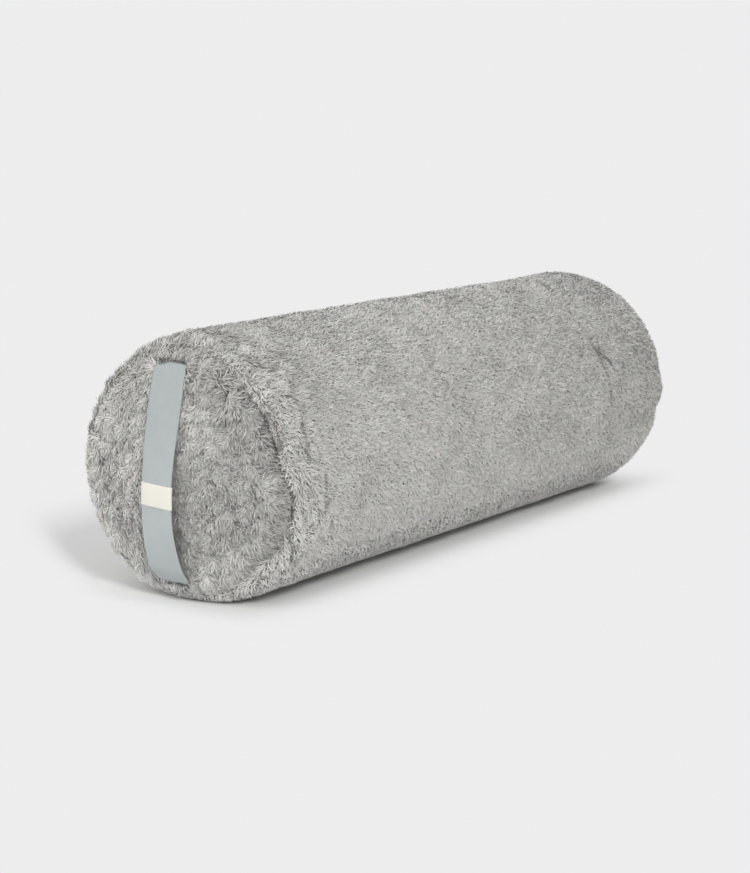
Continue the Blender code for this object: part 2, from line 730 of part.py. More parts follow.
def puller_outline():
    """The pull tab's plan from its bar, which lies on the hinge axis, to its rounded tail."""
    half_eye = PULLER_EYE_WIDTH / 2 + PULLER_ARM
    half_tail = PULLER_TAIL_WIDTH / 2
    neck = PULLER_WALL / 2 + PULLER_EYE_LENGTH + PULLER_ARM
    centre = PULLER_LENGTH - half_tail
    side = [(-PULLER_WALL / 2, half_eye - PULLER_CORNER)]
    side += [(-PULLER_WALL / 2 + PULLER_CORNER, half_eye)]
    side += [(neck - PULLER_ARM, half_eye), (neck + PULLER_NECK, half_tail)]
    for step in range(TAIL_STEPS + 1):
        turn = math.pi / 2 * step / TAIL_STEPS
        side.append((centre + half_tail * math.sin(turn), half_tail * math.cos(turn)))
    lower = [(x, -y) for x, y in reversed(side[:-1])]
    return [(x, y) for x, y in side] + lower


def make_puller(carrier):
    """The pull tab, whose eye holds the slider's bridge and whose bar turns under it."""
    hinge = make_empty("puller_hinge", (0.0, 0.0, HINGE_HEIGHT), carrier)
    half = PULLER_WALL / 2
    puller = plate("zip_puller", puller_outline(), -half, half, METAL, hinge)
    eye_start = PULLER_WALL / 2
    low = (eye_start, -PULLER_EYE_WIDTH / 2, -PULLER_WALL)
    high = (eye_start + PULLER_EYE_LENGTH, PULLER_EYE_WIDTH / 2, PULLER_WALL)
    cut(puller, block("puller_eye", low, high, METAL, hinge, CUTTERS))
    hole_end = PULLER_LENGTH - PULLER_TAIL_WIDTH / 2 + PULLER_HOLE_WIDTH / 2
    low = (hole_end - PULLER_HOLE_LENGTH, -PULLER_HOLE_WIDTH / 2, -PULLER_WALL)
    high = (hole_end, PULLER_HOLE_WIDTH / 2, PULLER_WALL)
    cut(puller, block("puller_hole", low, high, METAL, hinge, CUTTERS))


def make_zip():
    """The whole zip, on an empty whose axes are the zip's own."""
    location = (0.0, ZIP_RADIUS * math.cos(ZIP_ANGLE), AXIS_HEIGHT + ZIP_RADIUS * math.sin(ZIP_ANGLE))
    zip_line = make_empty("zip_line", location, None, ZIP_ANGLE - math.pi / 2)
    make_zip_half(-1, "upper", zip_line)
    make_zip_half(1, "lower", zip_line)
    low = (CHAIN_REAR + SEAT_GAP, -CHAIN_HALF_WIDTH, TOOTH_BOTTOM)
    high = (CHAIN_REAR + SEAT_GAP + STOP_LENGTH, CHAIN_HALF_WIDTH, TOOTH_BOTTOM + STOP_HEIGHT)
    block("zip_bottom_stop", low, high, METAL, zip_line, bevel=STOP_BEVEL)
    carrier = make_slider(zip_line)
    make_puller(carrier)


# The inner case and the filling


def inner_place(inset):
    """How the pieces inside are laid round the axis, flat at the foot and behind the zip."""
    def place(row, angle):
        x, radius = row
        return ring_point(x, radius, angle, inset, LINER_ZIP_FLAT - (inset - COVER_WALL - SEAT_GAP))
    return place


def make_liner():
    """The cotton case: a rolled body and two ends that meet it edge to edge."""
    inset = COVER_WALL + SEAT_GAP
    radius = BODY_RADIUS - inset
    middle = [CENTRE_SHIFT]
    body_rows = through(liner_shoulder_outline(0.0, radius), middle, radius)
    body = rolled_cloth("liner_body", body_rows, COTTON, inner_place(inset), coarseness=2)
    solidify(body, LINER_WALL)
    for name, end in (("liner_front_panel", -1), ("liner_rear_panel", 1)):
        rows = along_bolster(liner_crown_outline(0.0), end)
        panel = rolled_cloth(name, rows, COTTON, inner_place(inset), coarseness=2)
        solidify(panel, LINER_WALL)


def make_filling():
    """The stuffing, one firm body that fills the case."""
    under_wall = LINER_WALL + CLOTH_GAP
    inset = COVER_WALL + SEAT_GAP + under_wall
    radius = BODY_RADIUS - inset
    outline = liner_crown_outline(under_wall + CLOTH_GAP)[::-1][:-1]
    outline += liner_shoulder_outline(under_wall, radius)
    rows = through(outline, [CENTRE_SHIFT], radius)
    rolled_cloth("filling", rows, STUFFING, inner_place(inset), coarseness=2)


cover_body_panel = make_cover_body()
make_cover_end("cover_front_panel", -1)
make_cover_end("cover_rear_panel", 1)
make_seam_binding("front_seam_binding", -1)
make_seam_binding("rear_seam_binding", 1)
make_strap(cover_body_panel)
make_label()
make_zip()
make_liner()
make_filling()
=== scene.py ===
# %% [markdown]
# This lesson rebuilds a round yoga bolster in Blender. The real one is a firm cylinder of stuffing, about
# 65 cm long and 21 cm thick, in a removable cover of grey wool pile. A band of blue-grey webbing is sewn
# across one end as a handle, with a small cream label folded round it, and a zip runs along the far side.
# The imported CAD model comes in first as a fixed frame. Everything made here takes its place and size from it.

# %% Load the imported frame
import math

import bpy
import numpy as np
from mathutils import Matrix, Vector


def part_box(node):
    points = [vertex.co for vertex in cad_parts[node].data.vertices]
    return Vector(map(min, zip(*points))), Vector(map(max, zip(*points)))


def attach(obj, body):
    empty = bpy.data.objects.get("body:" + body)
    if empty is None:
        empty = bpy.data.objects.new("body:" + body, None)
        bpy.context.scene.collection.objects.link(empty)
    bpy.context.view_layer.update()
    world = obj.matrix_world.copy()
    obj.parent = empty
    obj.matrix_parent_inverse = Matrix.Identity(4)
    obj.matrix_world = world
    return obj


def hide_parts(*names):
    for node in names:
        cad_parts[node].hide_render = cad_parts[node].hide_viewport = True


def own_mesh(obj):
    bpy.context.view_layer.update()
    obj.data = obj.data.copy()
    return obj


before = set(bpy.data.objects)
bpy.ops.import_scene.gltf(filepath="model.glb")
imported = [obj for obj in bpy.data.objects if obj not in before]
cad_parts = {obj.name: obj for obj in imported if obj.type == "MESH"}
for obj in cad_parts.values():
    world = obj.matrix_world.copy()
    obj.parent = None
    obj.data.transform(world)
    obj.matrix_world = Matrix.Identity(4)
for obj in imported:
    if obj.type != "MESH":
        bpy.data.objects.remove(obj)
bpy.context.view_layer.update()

print("nodes:", ", ".join(sorted(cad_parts)))

# %% [markdown]
# The bolster lies along X. The camera looks along it from the handle's end, a little from above, as in the
# photograph. A long lens keeps the far end nearly as thick as the near one. The lens, the distance and the
# two angles were found by fitting the outline of the object to the photograph's outline.

# %% Set up the camera
def pointing(rise, turn):
    """The direction with that rise above level and that turn about the upright."""
    return Vector((math.cos(rise) * math.cos(turn), math.cos(rise) * math.sin(turn), math.sin(rise)))


FOCAL_LENGTH = 90.7
SENSOR_WIDTH = 36.0
CAMERA_PLACE = (-1.5484, -0.9929, 0.3961)
CAMERA_TURN = math.radians(33.304)
CAMERA_TILT = math.radians(-9.668)

scene = bpy.context.scene
camera_data = bpy.data.cameras.new("photo_camera")
camera_data.lens = FOCAL_LENGTH
camera_data.sensor_width = SENSOR_WIDTH
camera_data.clip_end = 200.0
camera = bpy.data.objects.new("photo_camera", camera_data)
scene.collection.objects.link(camera)
camera.location = CAMERA_PLACE
gaze = pointing(CAMERA_TILT, CAMERA_TURN)
camera.rotation_euler = gaze.to_track_quat("-Z", "Y").to_euler()
scene.camera = camera
print("camera looks along", [round(part, 3) for part in gaze])

# %% [markdown]
# Shader patterns are sums of noises and ramps. Written node by node they are hard to read, so a small class
# stands for a socket: adding, subtracting, multiplying or dividing adds the Math node that does it. A second
# class makes every other kind of node, and a third is a material that such sums are fed into.

# %% Write nodes as sums
class Amount:
    """What a node gives: a number, a place or a colour that varies over a surface."""

    def __init__(self, nodes, socket):
        self.nodes = nodes
        self.socket = socket

    def worked(self, operation, first, second=0.0):
        return self.nodes.node("Math", {0: first, 1: second}, operation=operation)

    def __add__(self, other):
        return self.worked("ADD", self, other)

    def __radd__(self, other):
        return self.worked("ADD", other, self)

    def __sub__(self, other):
        return self.worked("SUBTRACT", self, other)

    def __rsub__(self, other):
        return self.worked("SUBTRACT", other, self)

    def __mul__(self, other):
        return self.worked("MULTIPLY", self, other)

    def __truediv__(self, other):
        return self.worked("DIVIDE", self, other)

    def wave(self):
        return self.worked("SINE", self)


class Nodes:
    """A tree of shader nodes."""

    def __init__(self, tree):
        self.tree = tree

    def node(self, kind, values, output=0, **settings):
        """Add a node, set it up, fill its sockets and return one of its outputs."""
        made = self.tree.nodes.new("ShaderNode" + kind)
        for key, value in settings.items():
            setattr(made, key, value)
        for key, value in values.items():
            if isinstance(value, Amount):
                self.tree.links.new(value.socket, made.inputs[key])
            else:
                made.inputs[key].default_value = value
        return Amount(self, made.outputs[output])

    def place(self):
        """The place on the piece itself, in metres."""
        return self.node("TexCoord", {}, 3)

    def part(self, place, axis):
        """One of the three numbers of a place."""
        return self.node("SeparateXYZ", {0: place}, axis)

    def noise(self, at, scale, detail):
        """Cloudy values round 0.5."""
        return self.node("TexNoise", {"Vector": at, "Scale": scale, "Detail": detail})


class Finish(Nodes):
    """A material whose Principled shader is fed with sums of nodes."""

    def __init__(self, name, constants):
        self.material = bpy.data.materials.new(name)
        self.material.use_nodes = True
        super().__init__(self.material.node_tree)
        self.shader = self.tree.nodes["Principled BSDF"]
        for socket, value in constants.items():
            self.shader.inputs[socket].default_value = value

    def feed(self, socket, amount):
        """Link an amount to one of the shader's sockets."""
        self.tree.links.new(amount.socket, self.shader.inputs[socket])

    def colour(self, amount, *stops):
        """Colour the surface by an amount, through stops that are each a place and a colour."""
        mixed = self.node("ValToRGB", {0: amount})
        ramp = mixed.socket.node.color_ramp
        ramp.elements.remove(ramp.elements[0])
        for index, (place, colour) in enumerate(stops):
            element = ramp.elements.new(place) if index else ramp.elements[0]
            element.position = place
            element.color = (*colour, 1.0)
        self.feed("Base Color", mixed)

    def bump(self, height, strength, distance):
        """Shade the surface as if it were raised by an amount."""
        self.feed("Normal", self.node("Bump", {"Height": height, "Strength": strength, "Distance": distance}))

    def dress(self, piece):
        """Make this the piece's only material."""
        piece.data.materials.clear()
        piece.data.materials.append(self.material)


print("sockets add, subtract, multiply and divide")

# %% [markdown]
# The studio is a pale sweep with soft light from all round. The key sun stands on the right, a little behind
# the camera, and makes the shadow. A broad sun on the left fills it, and a weak one behind lights the far
# side. Suns and an even sky light a floor equally everywhere, so the floor has one colour up to the horizon,
# apart from the shadow, and the world shows the camera that same colour above it. Their levels add up to
# about 1 on the floor, so a colour renders about as it is written. A real studio floor is lit from so many
# sides that a shadow fades out soon. Here the floor glows a little in the camera's eye instead, more and
# more with the distance from the bolster, and keeps the dark line under it and the shadow on its left.

# %% Light the studio
PAPER = 0.847
PAPER_COLOUR = (PAPER, PAPER, PAPER, 1.0)
SKY_LEVEL = 0.555
# Each sun's level on the floor, its height and its direction in degrees, and how broad it is
SUNS = {"key_sun": (0.25, 35.0, -124.0, 14.0), "fill_sun": (0.165, 25.0, 160.0, 80.0),
        "rear_sun": (0.04, 20.0, 30.0, 50.0)}

scene.view_settings.view_transform = "Standard"
world = bpy.data.worlds.new("studio")
world.use_nodes = True
world.node_tree.nodes.clear()
scene.world = world
sky = Nodes(world.node_tree)
straight, through, mirrored = (sky.node("LightPath", {}, "Is " + ray + " Ray")
                               for ray in ("Camera", "Transmission", "Glossy"))
seen = sky.node("Math", {0: straight + through, 1: mirrored}, operation="ADD", use_clamp=True)
lighting = sky.node("Background", {"Color": (1.0, 1.0, 1.0, 1.0), "Strength": SKY_LEVEL})
backdrop = sky.node("Background", {"Color": PAPER_COLOUR})
either = sky.node("MixShader", {0: seen, 1: lighting, 2: backdrop})
sky_out = sky.tree.nodes.new("ShaderNodeOutputWorld")
sky.tree.links.new(either.socket, sky_out.inputs["Surface"])

for name, (level, elevation, azimuth, breadth) in SUNS.items():
    rise = math.radians(elevation)
    sun_data = bpy.data.lights.new(name, "SUN")
    sun_data.energy = level * math.pi / math.sin(rise)
    sun_data.angle = math.radians(breadth)
    sun = bpy.data.objects.new(name, sun_data)
    scene.collection.objects.link(sun)
    sun.rotation_euler = pointing(rise, math.radians(azimuth)).to_track_quat("Z", "Y").to_euler()

bpy.ops.mesh.primitive_plane_add(size=160.0, location=(0.0, 0.0, 0.0))
floor = bpy.context.object
floor.name = "paper_floor"
paper = Finish("pale_paper", {"Base Color": PAPER_COLOUR, "Roughness": 1.0, "Specular IOR Level": 0.0})
paper_at = paper.place()
paper_x, paper_y = (paper.part(paper_at, axis) for axis in (0, 1))


def beyond(value, start, reach):
    """How far a value on the paper is past a start, in reaches, from 0."""
    return paper.node("Math", {0: (value - start) / reach, 1: 0.0}, operation="MAXIMUM")


past = {"near": beyond(paper_y * -1.0, 0.052, 0.030),
        "front": beyond(paper_x * -1.0, 0.300, 0.020),
        "rear": beyond(paper_x - beyond(paper_y, 0.0, 1.0) * 0.9, 0.290, 0.060),
        "left": beyond(paper_y * 0.634 - paper_x * 0.775, 0.277, 0.018),
        "far": beyond(paper_y, 0.360, 0.080)}
all_past = sum(amount * amount for amount in past.values())
kept_shadow = paper.node("Math", {0: all_past * -1.0}, operation="EXPONENT")
glow = paper.node("Emission", {"Color": PAPER_COLOUR})
to_camera = paper.node("LightPath", {}) * (1.0 - kept_shadow)
lifted = paper.node("MixShader", {0: to_camera, 1: Amount(paper, paper.shader.outputs[0]), 2: glow})
paper.tree.links.new(lifted.socket, paper.tree.nodes["Material Output"].inputs["Surface"])
paper.dress(floor)
print("lights:", SKY_LEVEL, SUNS)

# %% [markdown]
# The cover is cut from three cloths: a body panel rolled into a tube, and a round panel for each end. The
# wool pile hides the knitted backing, but the backing gives the form: a tube pressed flat where it lies,
# shoulders that draw in to the seams, and crowned ends. Each backing starts as a flat grid that is rolled up
# in code, because then its rows and columns can be placed along an outline measured on the CAD model.

# %% Sizes that the cover follows
body_low, body_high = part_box("cover_body_panel")
front_low, front_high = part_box("cover_front_panel")
FRONT_SEAM = body_low.x
REAR_SEAM = body_high.x
TUBE_RADIUS = body_high.y
SEAM_RADIUS = front_high.y
AXIS_HEIGHT = 0.0968
CROWN_HEIGHT = FRONT_SEAM - front_low.x
SHOULDER_LENGTH = 0.0215
TUBE_PILE = 0.0026
END_PILE = 0.0034
ZIP_ANGLE = math.radians(14.0)
SLOT_END = 0.240
SLOT_HALF_WIDTH = 0.00725
STRAP_MIDDLE = 0.0081
BODY_COLUMNS = 240
BAKE_MAP = "OFBake"
LAID = "laid_flat"
print("seams at", round(FRONT_SEAM, 4), round(REAR_SEAM, 4), "tube radius", round(TUBE_RADIUS, 4))

# %% [markdown]
# Much of the cover's form is worked out in code with a few kinds of values: ones that rise or fall over a
# reach, humps round a line, and smooth random values that drift over the cloth.

# %% Shape values in code
def eased(share):
    """A share from 0 to 1 with its start and its stop made gentle."""
    return share * share * (3.0 - 2.0 * share)


def rising(value, start, reach):
    """From 0 at a start to 1 a reach above it."""
    return np.clip((value - start) / reach, 0.0, 1.0)


def falling(value, start, reach):
    """From 0 at a start to 1 a reach below it."""
    return np.clip((start - value) / reach, 0.0, 1.0)


def hump(gap, width):
    """1 where there is no gap, and fading out over about the width."""
    return np.exp(-((gap / width) ** 2))


def drift(points, size, seed):
    """Smooth random values between -1 and 1 that change over about the given size."""
    table = np.random.default_rng(seed).uniform(-1.0, 1.0, (32, 32, 32))
    at = points / size + 320.0
    low = np.floor(at).astype(int)
    part = eased(at - low)
    total = np.zeros(len(points))
    for corner in np.ndindex(2, 2, 2):
        share = np.prod(np.where(corner, part, 1.0 - part), axis=1)
        total += share * table[tuple(((low + corner) % 32).T)]
    return total


def line_distance(places, line):
    """How far each place on a cloth is from a line of straight runs, and how far along the line."""
    line = np.array(line)
    nearest = np.full(len(places), np.inf)
    along = np.zeros(len(places))
    for index, (start, stop) in enumerate(zip(line, line[1:])):
        run = stop - start
        share = np.clip(((places - start) @ run) / (run @ run), 0.0, 1.0)
        gap = np.linalg.norm(places - start - share[:, None] * run, axis=1)
        closer = gap < nearest
        nearest[closer] = gap[closer]
        along[closer] = (index + share[closer]) / (len(line) - 1)
    return nearest, along


def from_axis(places):
    """The way from the axis to each place, how far that is, and its angle round the axis."""
    away = places - (0.0, 0.0, AXIS_HEIGHT)
    away[:, 0] = 0.0
    return away, np.hypot(away[:, 1], away[:, 2]), np.arctan2(away[:, 2], away[:, 1]) % (2.0 * math.pi)


print("drift at two places:", drift(np.array([[0.0, 0.0, 0.0], [0.1, 0.0, 0.0]]), 0.05, 1).round(3))

# %% [markdown]
# Corners are read from a mesh as one array, changed all at once and written back.

# %% Read and move a piece's corners
def corner_values(corners, key):
    """One value of three numbers for each corner, as an array."""
    values = np.empty(len(corners) * 3)
    corners.foreach_get(key, values)
    return values.reshape(-1, 3)


def positions(piece):
    """A piece's corners."""
    return corner_values(piece.data.vertices, "co")


def directions(piece):
    """The direction that each corner of a piece faces."""
    return corner_values(piece.data.vertices, "normal")


def laid(piece):
    """A cloth's corners laid flat: how far along it, how far round, and the radius before it was pressed."""
    return corner_values(piece.data.attributes[LAID].data, "vector")


def set_positions(piece, places):
    """Move a piece's corners."""
    piece.data.vertices.foreach_set("co", np.asarray(places, dtype=np.float32).ravel())
    piece.data.update()


def select_only(piece):
    """Select one piece and make it the active one."""
    bpy.ops.object.select_all(action="DESELECT")
    bpy.context.view_layer.objects.active = piece
    piece.select_set(True)


def new_grid(name, rows, columns):
    """A flat grid with its corners' row numbers and their places across, from -1 to 1."""
    bpy.ops.object.select_all(action="DESELECT")
    bpy.ops.mesh.primitive_grid_add(x_subdivisions=rows - 1, y_subdivisions=columns, size=2.0)
    piece = bpy.context.object
    piece.name = name
    flat = positions(piece)
    return piece, np.rint((flat[:, 0] + 1.0) / 2.0 * (rows - 1)).astype(int), flat[:, 1]


print("a grid's corners can be read and moved")

# %% [markdown]
# Rolling a cloth up turns a grid's rows into rings. On the near side the rim was gathered when it was sewn,
# so there the outline goes over into a second one. Each corner remembers where it lay on the flat cloth.

# %% Roll a flat grid into a cloth of revolution
def through_points(points, count):
    """A smooth line through points, cut into that many places."""
    points = np.array(points)
    ends = np.concatenate([2 * points[:1] - points[1:2], points, 2 * points[-1:] - points[-2:-1]])
    at = np.linspace(0.0, len(points) - 1.0, count)
    run = np.minimum(at.astype(int), len(points) - 2)
    t = (at - run)[:, None]
    before, start, stop, after = (ends[run + step] for step in range(4))
    return 0.5 * (2 * start + (stop - before) * t + (2 * before - 5 * start + 4 * stop - after) * t ** 2
                  + (3 * start - before - 3 * stop + after) * t ** 3)


GATHER_MIDDLE = math.radians(198.0)
GATHER_SPAN = math.radians(26.0)


def gathered(turn):
    """How much of the near side's gathered rim there is at an angle, from 0 to 1."""
    away = np.abs((turn - GATHER_MIDDLE + math.pi) % (2.0 * math.pi) - math.pi)
    return eased(falling(away, GATHER_SPAN, 0.6 * GATHER_SPAN))


def eased_to_slot(turn):
    """Angles round the tube, with the columns near the zip drawn in so that two of them edge the slot."""
    away = (turn - ZIP_ANGLE + math.pi) % (2.0 * math.pi) - math.pi
    edge = math.asin(SLOT_HALF_WIDTH / (TUBE_RADIUS - TUBE_PILE))
    near = 3.0 * 2.0 * math.pi / BODY_COLUMNS
    drawn = np.interp(np.abs(away), [0.0, near, 4.0 * near, math.pi], [0.0, edge, 4.0 * near, math.pi])
    return ZIP_ANGLE + (np.sign(away) * drawn) % (2.0 * math.pi)


def rolled_cloth(name, outline, gathered_outline, columns, start_angle, lift=0.0012):
    """A grid whose rows follow an outline of (x, radius) and whose columns go round the axis."""
    cloth, row, across = new_grid(name, len(outline), columns)
    turn = start_angle + (across + 1.0) / 2.0 * 2.0 * math.pi
    if columns == BODY_COLUMNS:
        turn = eased_to_slot(turn)
    share = gathered(turn)[:, None]
    outline = np.array(outline)
    x, radius = (outline[row] * (1.0 - share) + np.array(gathered_outline)[row] * share).T
    down = np.maximum(-np.sin(turn), 1e-9)
    radius = np.minimum(radius, np.where(np.sin(turn) < 0.0, (AXIS_HEIGHT - lift) / down, radius))
    set_positions(cloth, np.stack([x, radius * np.cos(turn), AXIS_HEIGHT + radius * np.sin(turn)], 1))
    steps = np.linalg.norm(np.diff(outline, axis=0), axis=1)
    reach = np.concatenate([[0.0], np.cumsum(steps)])
    middle = len(outline) // 2
    flat = np.stack([(reach + outline[middle][0] - reach[middle])[row], turn * TUBE_RADIUS, radius], 1)
    laid_places = cloth.data.attributes.new(LAID, "FLOAT_VECTOR", "POINT")
    laid_places.data.foreach_set("vector", flat.astype(np.float32).ravel())
    cloth.data.uv_layers[0].name = BAKE_MAP
    bpy.ops.object.mode_set(mode="EDIT")
    bpy.ops.mesh.select_all(action="SELECT")
    bpy.ops.mesh.remove_doubles(threshold=1e-5)
    bpy.ops.mesh.normals_make_consistent(inside=False)
    bpy.ops.object.mode_set(mode="OBJECT")
    bpy.ops.object.shade_smooth()
    centre = Vector(((FRONT_SEAM + REAR_SEAM) / 2.0, 0.0, AXIS_HEIGHT))
    outward = sum(face.area * face.normal.dot(face.center - centre) for face in cloth.data.polygons)
    if outward < 0.0:
        cloth.data.flip_normals()
    return cloth


# Outlines run from inside the seam outwards as (depth behind the seam, radius)
TUBE_BACKING = TUBE_RADIUS - TUBE_PILE
ROLL = [(0.0120, 0.0852), (0.0050, 0.0848), (0.0012, 0.0860), (-0.0008, 0.0886), (-0.0004, 0.0918),
        (0.0018, 0.0949), (0.0052, 0.0975), (0.0098, 0.0995), (0.0152, 0.1007),
        (SHOULDER_LENGTH, TUBE_BACKING)]
GATHERED_ROLL = [(0.0120, 0.0912), (0.0085, 0.0918), (0.0055, 0.0928), (0.0040, 0.0942), (0.0042, 0.0960),
                 (0.0062, 0.0979), (0.0095, 0.0993), (0.0150, 0.1006), (SHOULDER_LENGTH, TUBE_BACKING)]
RIM = [(0.0120, 0.0840), (0.0050, 0.0838), (0.0008, 0.0828), (-0.0022, 0.0802)]
GATHERED_RIM = [(0.0120, 0.0898), (0.0060, 0.0906), (0.0005, 0.0902), (-0.0036, 0.0868)]


def with_crown(rim, rings, height):
    """A rim carried on over the crowned end to its middle, which stands that high over the seam."""
    start_depth, start_radius = rim[-1]
    rise = height + start_depth
    line = list(through_points(rim, 12))
    for ring in range(1, rings + 1):
        share = 1.0 - ring / rings
        line.append((start_depth - rise * (1.0 - share ** 2.4), start_radius * share))
    return line


def placed(outline, seam, inwards):
    """An outline's depths as places along X."""
    return [(seam + inwards * depth, radius) for depth, radius in outline]


def backing_outline(front_roll):
    """The body panel's whole outline from the front seam to the rear one."""
    front = placed(through_points(front_roll, 30), FRONT_SEAM, 1.0)
    rear = placed(through_points(ROLL, 30), REAR_SEAM, -1.0)
    runs = [(front[-1][0], -SLOT_END, 14), (-SLOT_END, -0.185, 26), (-0.185, SLOT_END, 100),
            (SLOT_END, rear[-1][0], 12)]
    between = [x for start, stop, count in runs for x in np.linspace(start, stop, count)[1:]][:-1]
    return front + [(x, TUBE_BACKING) for x in between] + rear[::-1]


cover_body = rolled_cloth("cover_body", backing_outline(ROLL), backing_outline(GATHERED_ROLL),
                          BODY_COLUMNS, ZIP_ANGLE)
end_outlines = [with_crown(rim, 44, CROWN_HEIGHT - END_PILE) for rim in (RIM, GATHERED_RIM)]
cover_front = rolled_cloth("cover_front", *[placed(line, FRONT_SEAM, 1.0) for line in end_outlines], 200, 1.5)
cover_rear = rolled_cloth("cover_rear", *[placed(end_outlines[0], REAR_SEAM, -1.0)] * 2, 200, 1.5)
backings = (cover_body, cover_front, cover_rear)
print("corners in the three backings:", [len(piece.data.vertices) for piece in backings])

# %% [markdown]
# The zip lies along the far side, a little above the middle. It is easiest to model flat: along X, across the
# zip, and out from the bolster's axis. Two functions go between those measures and the bolster's own.

# %% Measure from the zip
def to_zip(places):
    """Places as (along X, across the zip and down, out from the axis)."""
    height = places[:, 2] - AXIS_HEIGHT
    across = places[:, 1] * math.sin(ZIP_ANGLE) - height * math.cos(ZIP_ANGLE)
    out = places[:, 1] * math.cos(ZIP_ANGLE) + height * math.sin(ZIP_ANGLE)
    return np.stack([places[:, 0], across, out], 1)


def from_zip(places):
    """The bolster's own places of (along X, across the zip and down, out from the axis)."""
    y = places[:, 1] * math.sin(ZIP_ANGLE) + places[:, 2] * math.cos(ZIP_ANGLE)
    height = places[:, 2] * math.sin(ZIP_ANGLE) - places[:, 1] * math.cos(ZIP_ANGLE)
    return np.stack([places[:, 0], y, AXIS_HEIGHT + height], 1)


def slot_gap(places):
    """How far places lie outside the zip's slot."""
    along, across, out = to_zip(places).T
    gap = np.maximum(np.abs(across) - SLOT_HALF_WIDTH, np.abs(along) - SLOT_END)
    return np.where(out > 0.0, gap, 1.0)


ZIP_TRAVEL = 0.4455
PULLER_HALF_WIDTH = 0.0050
PRESSED_MARGIN = 0.004


def under_puller(places):
    """How far the pile is pressed flat where the puller lies turned over, or with the zip open."""
    low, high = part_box("zip_puller")
    along, across, out = to_zip(places).T
    turned_over = np.maximum(along - low.x, 2.0 * low.x - high.x - along)
    zip_open = np.maximum(low.x + ZIP_TRAVEL - along, along - high.x - ZIP_TRAVEL)
    past = np.maximum(np.minimum(turned_over, zip_open), np.abs(across) - PULLER_HALF_WIDTH)
    return np.clip(1.0 - past / PRESSED_MARGIN, 0.0, 1.0) * (out > 0.0)


print("the slot is", 2.0 * SLOT_END, "m long")

# %% [markdown]
# A filled cover is never quite smooth. The stuffing swells it in broad lumps, and beside the front seam the
# body panel folds where it was gathered in: one row of folds lies in the seam itself, and others run into it
# from the tube. Each is a groove with a soft lip, pressed into the cloth along a line on it, and later the
# pile parts over it, with painted shade in the parting and painted light on the lip. Far down the tube three
# faint creases show where the stuffing ends.

# %% Press folds and swells into the backing
FOLDS = [
    # where it runs, as (along the cloth, angle round the axis in degrees); then how deep it is pressed, its
    # half width, how high its lips stand, and how strongly the pile parts over it, with its painted shade in
    # the parting and painted light on the lip, from 0 to 1
    ([(-0.2935, 104), (-0.2954, 112), (-0.2978, 122), (-0.2990, 131), (-0.2994, 141)], 0.0, 0.002, 0.0, 0.30),
    ([(-0.2990, 143), (-0.2994, 149), (-0.2994, 156), (-0.2994, 164), (-0.2992, 172)], 0.0, 0.002, 0.0, 0.95),
    ([(-0.2946, 140), (-0.2943, 145), (-0.2939, 150), (-0.2932, 155), (-0.2938, 160), (-0.2950, 165)],
     0.0030, 0.0018, 0.0012, 0.70),
    ([(-0.2990, 170), (-0.2985, 175), (-0.2970, 179), (-0.2957, 183), (-0.2948, 188), (-0.2962, 192),
      (-0.2980, 196)], 0.0016, 0.0022, 0.0008, 0.75),
    ([(-0.2990, 193), (-0.2978, 196), (-0.2954, 198), (-0.2921, 202), (-0.2881, 205), (-0.2835, 207)],
     0.0042, 0.0032, 0.0014, 0.90),
    ([(-0.2850, 208), (-0.2800, 208), (-0.2765, 206), (-0.2733, 203), (-0.2710, 200), (-0.2672, 198),
      (-0.2639, 192), (-0.2585, 188), (-0.2568, 184), (-0.2590, 180), (-0.2590, 175)],
     0.0036, 0.0032, 0.0014, 0.75),
    ([(-0.2600, 196), (-0.2541, 191), (-0.2497, 188), (-0.2464, 183)], 0.0022, 0.0026, 0.0008, 0.35),
    ([(-0.2845, 207), (-0.2803, 209), (-0.2786, 213), (-0.2728, 219)], 0.0024, 0.0026, 0.0010, 0.85),
    ([(-0.2700, 151), (-0.2725, 156), (-0.2747, 161), (-0.2756, 166), (-0.2745, 172)],
     0.0030, 0.0030, 0.0008, 0.45),
    ([(-0.2730, 107), (-0.2688, 113), (-0.2661, 120), (-0.2650, 125)], 0.0026, 0.0026, 0.0008, 0.45),
    ([(-0.2870, 110), (-0.2790, 118), (-0.2720, 126)], 0.0024, 0.0030, 0.0006, 0.30),
    ([(-0.2600, 131), (-0.2640, 138), (-0.2688, 145)], 0.0020, 0.0034, 0.0006, 0.25),
    ([(-0.2450, 196), (-0.2380, 205), (-0.2360, 214)], 0.0016, 0.0040, 0.0006, 0.20),
    ([(0.2100, 99), (0.2030, 106), (0.1920, 113), (0.1835, 121), (0.1771, 129), (0.1752, 136), (0.1790, 143)],
     0.0030, 0.0038, 0.0012, 0.34),
    ([(0.1775, 139), (0.1792, 151), (0.1846, 159), (0.1888, 166), (0.1910, 175), (0.1952, 186)],
     0.0020, 0.0042, 0.0006, 0.22),
    ([(0.1795, 150), (0.1890, 156), (0.1974, 160), (0.2038, 166)], 0.0016, 0.0036, 0.0004, 0.25),
]


def fold_gaps(flat):
    """For each fold its sizes, how far places of the cloth laid flat are from it, and its strength there."""
    for line, *sizes in FOLDS:
        run = [(along, math.radians(angle) * TUBE_RADIUS) for along, angle in line]
        gap, share = line_distance(flat[:, :2], run)
        yield sizes, gap, np.clip(np.minimum(share, 1.0 - share) * 6.0, 0.0, 1.0)


def fold_relief(flat):
    """How far the folds press in, below zero, or their lips swell out, at places of the cloth laid flat."""
    relief = np.zeros(len(flat))
    for (depth, half_width, lip, dark), gap, strength in fold_gaps(flat):
        relief -= depth * strength * hump(gap, half_width)
        relief += lip * strength * hump(gap - 2.2 * half_width, half_width)
    return relief


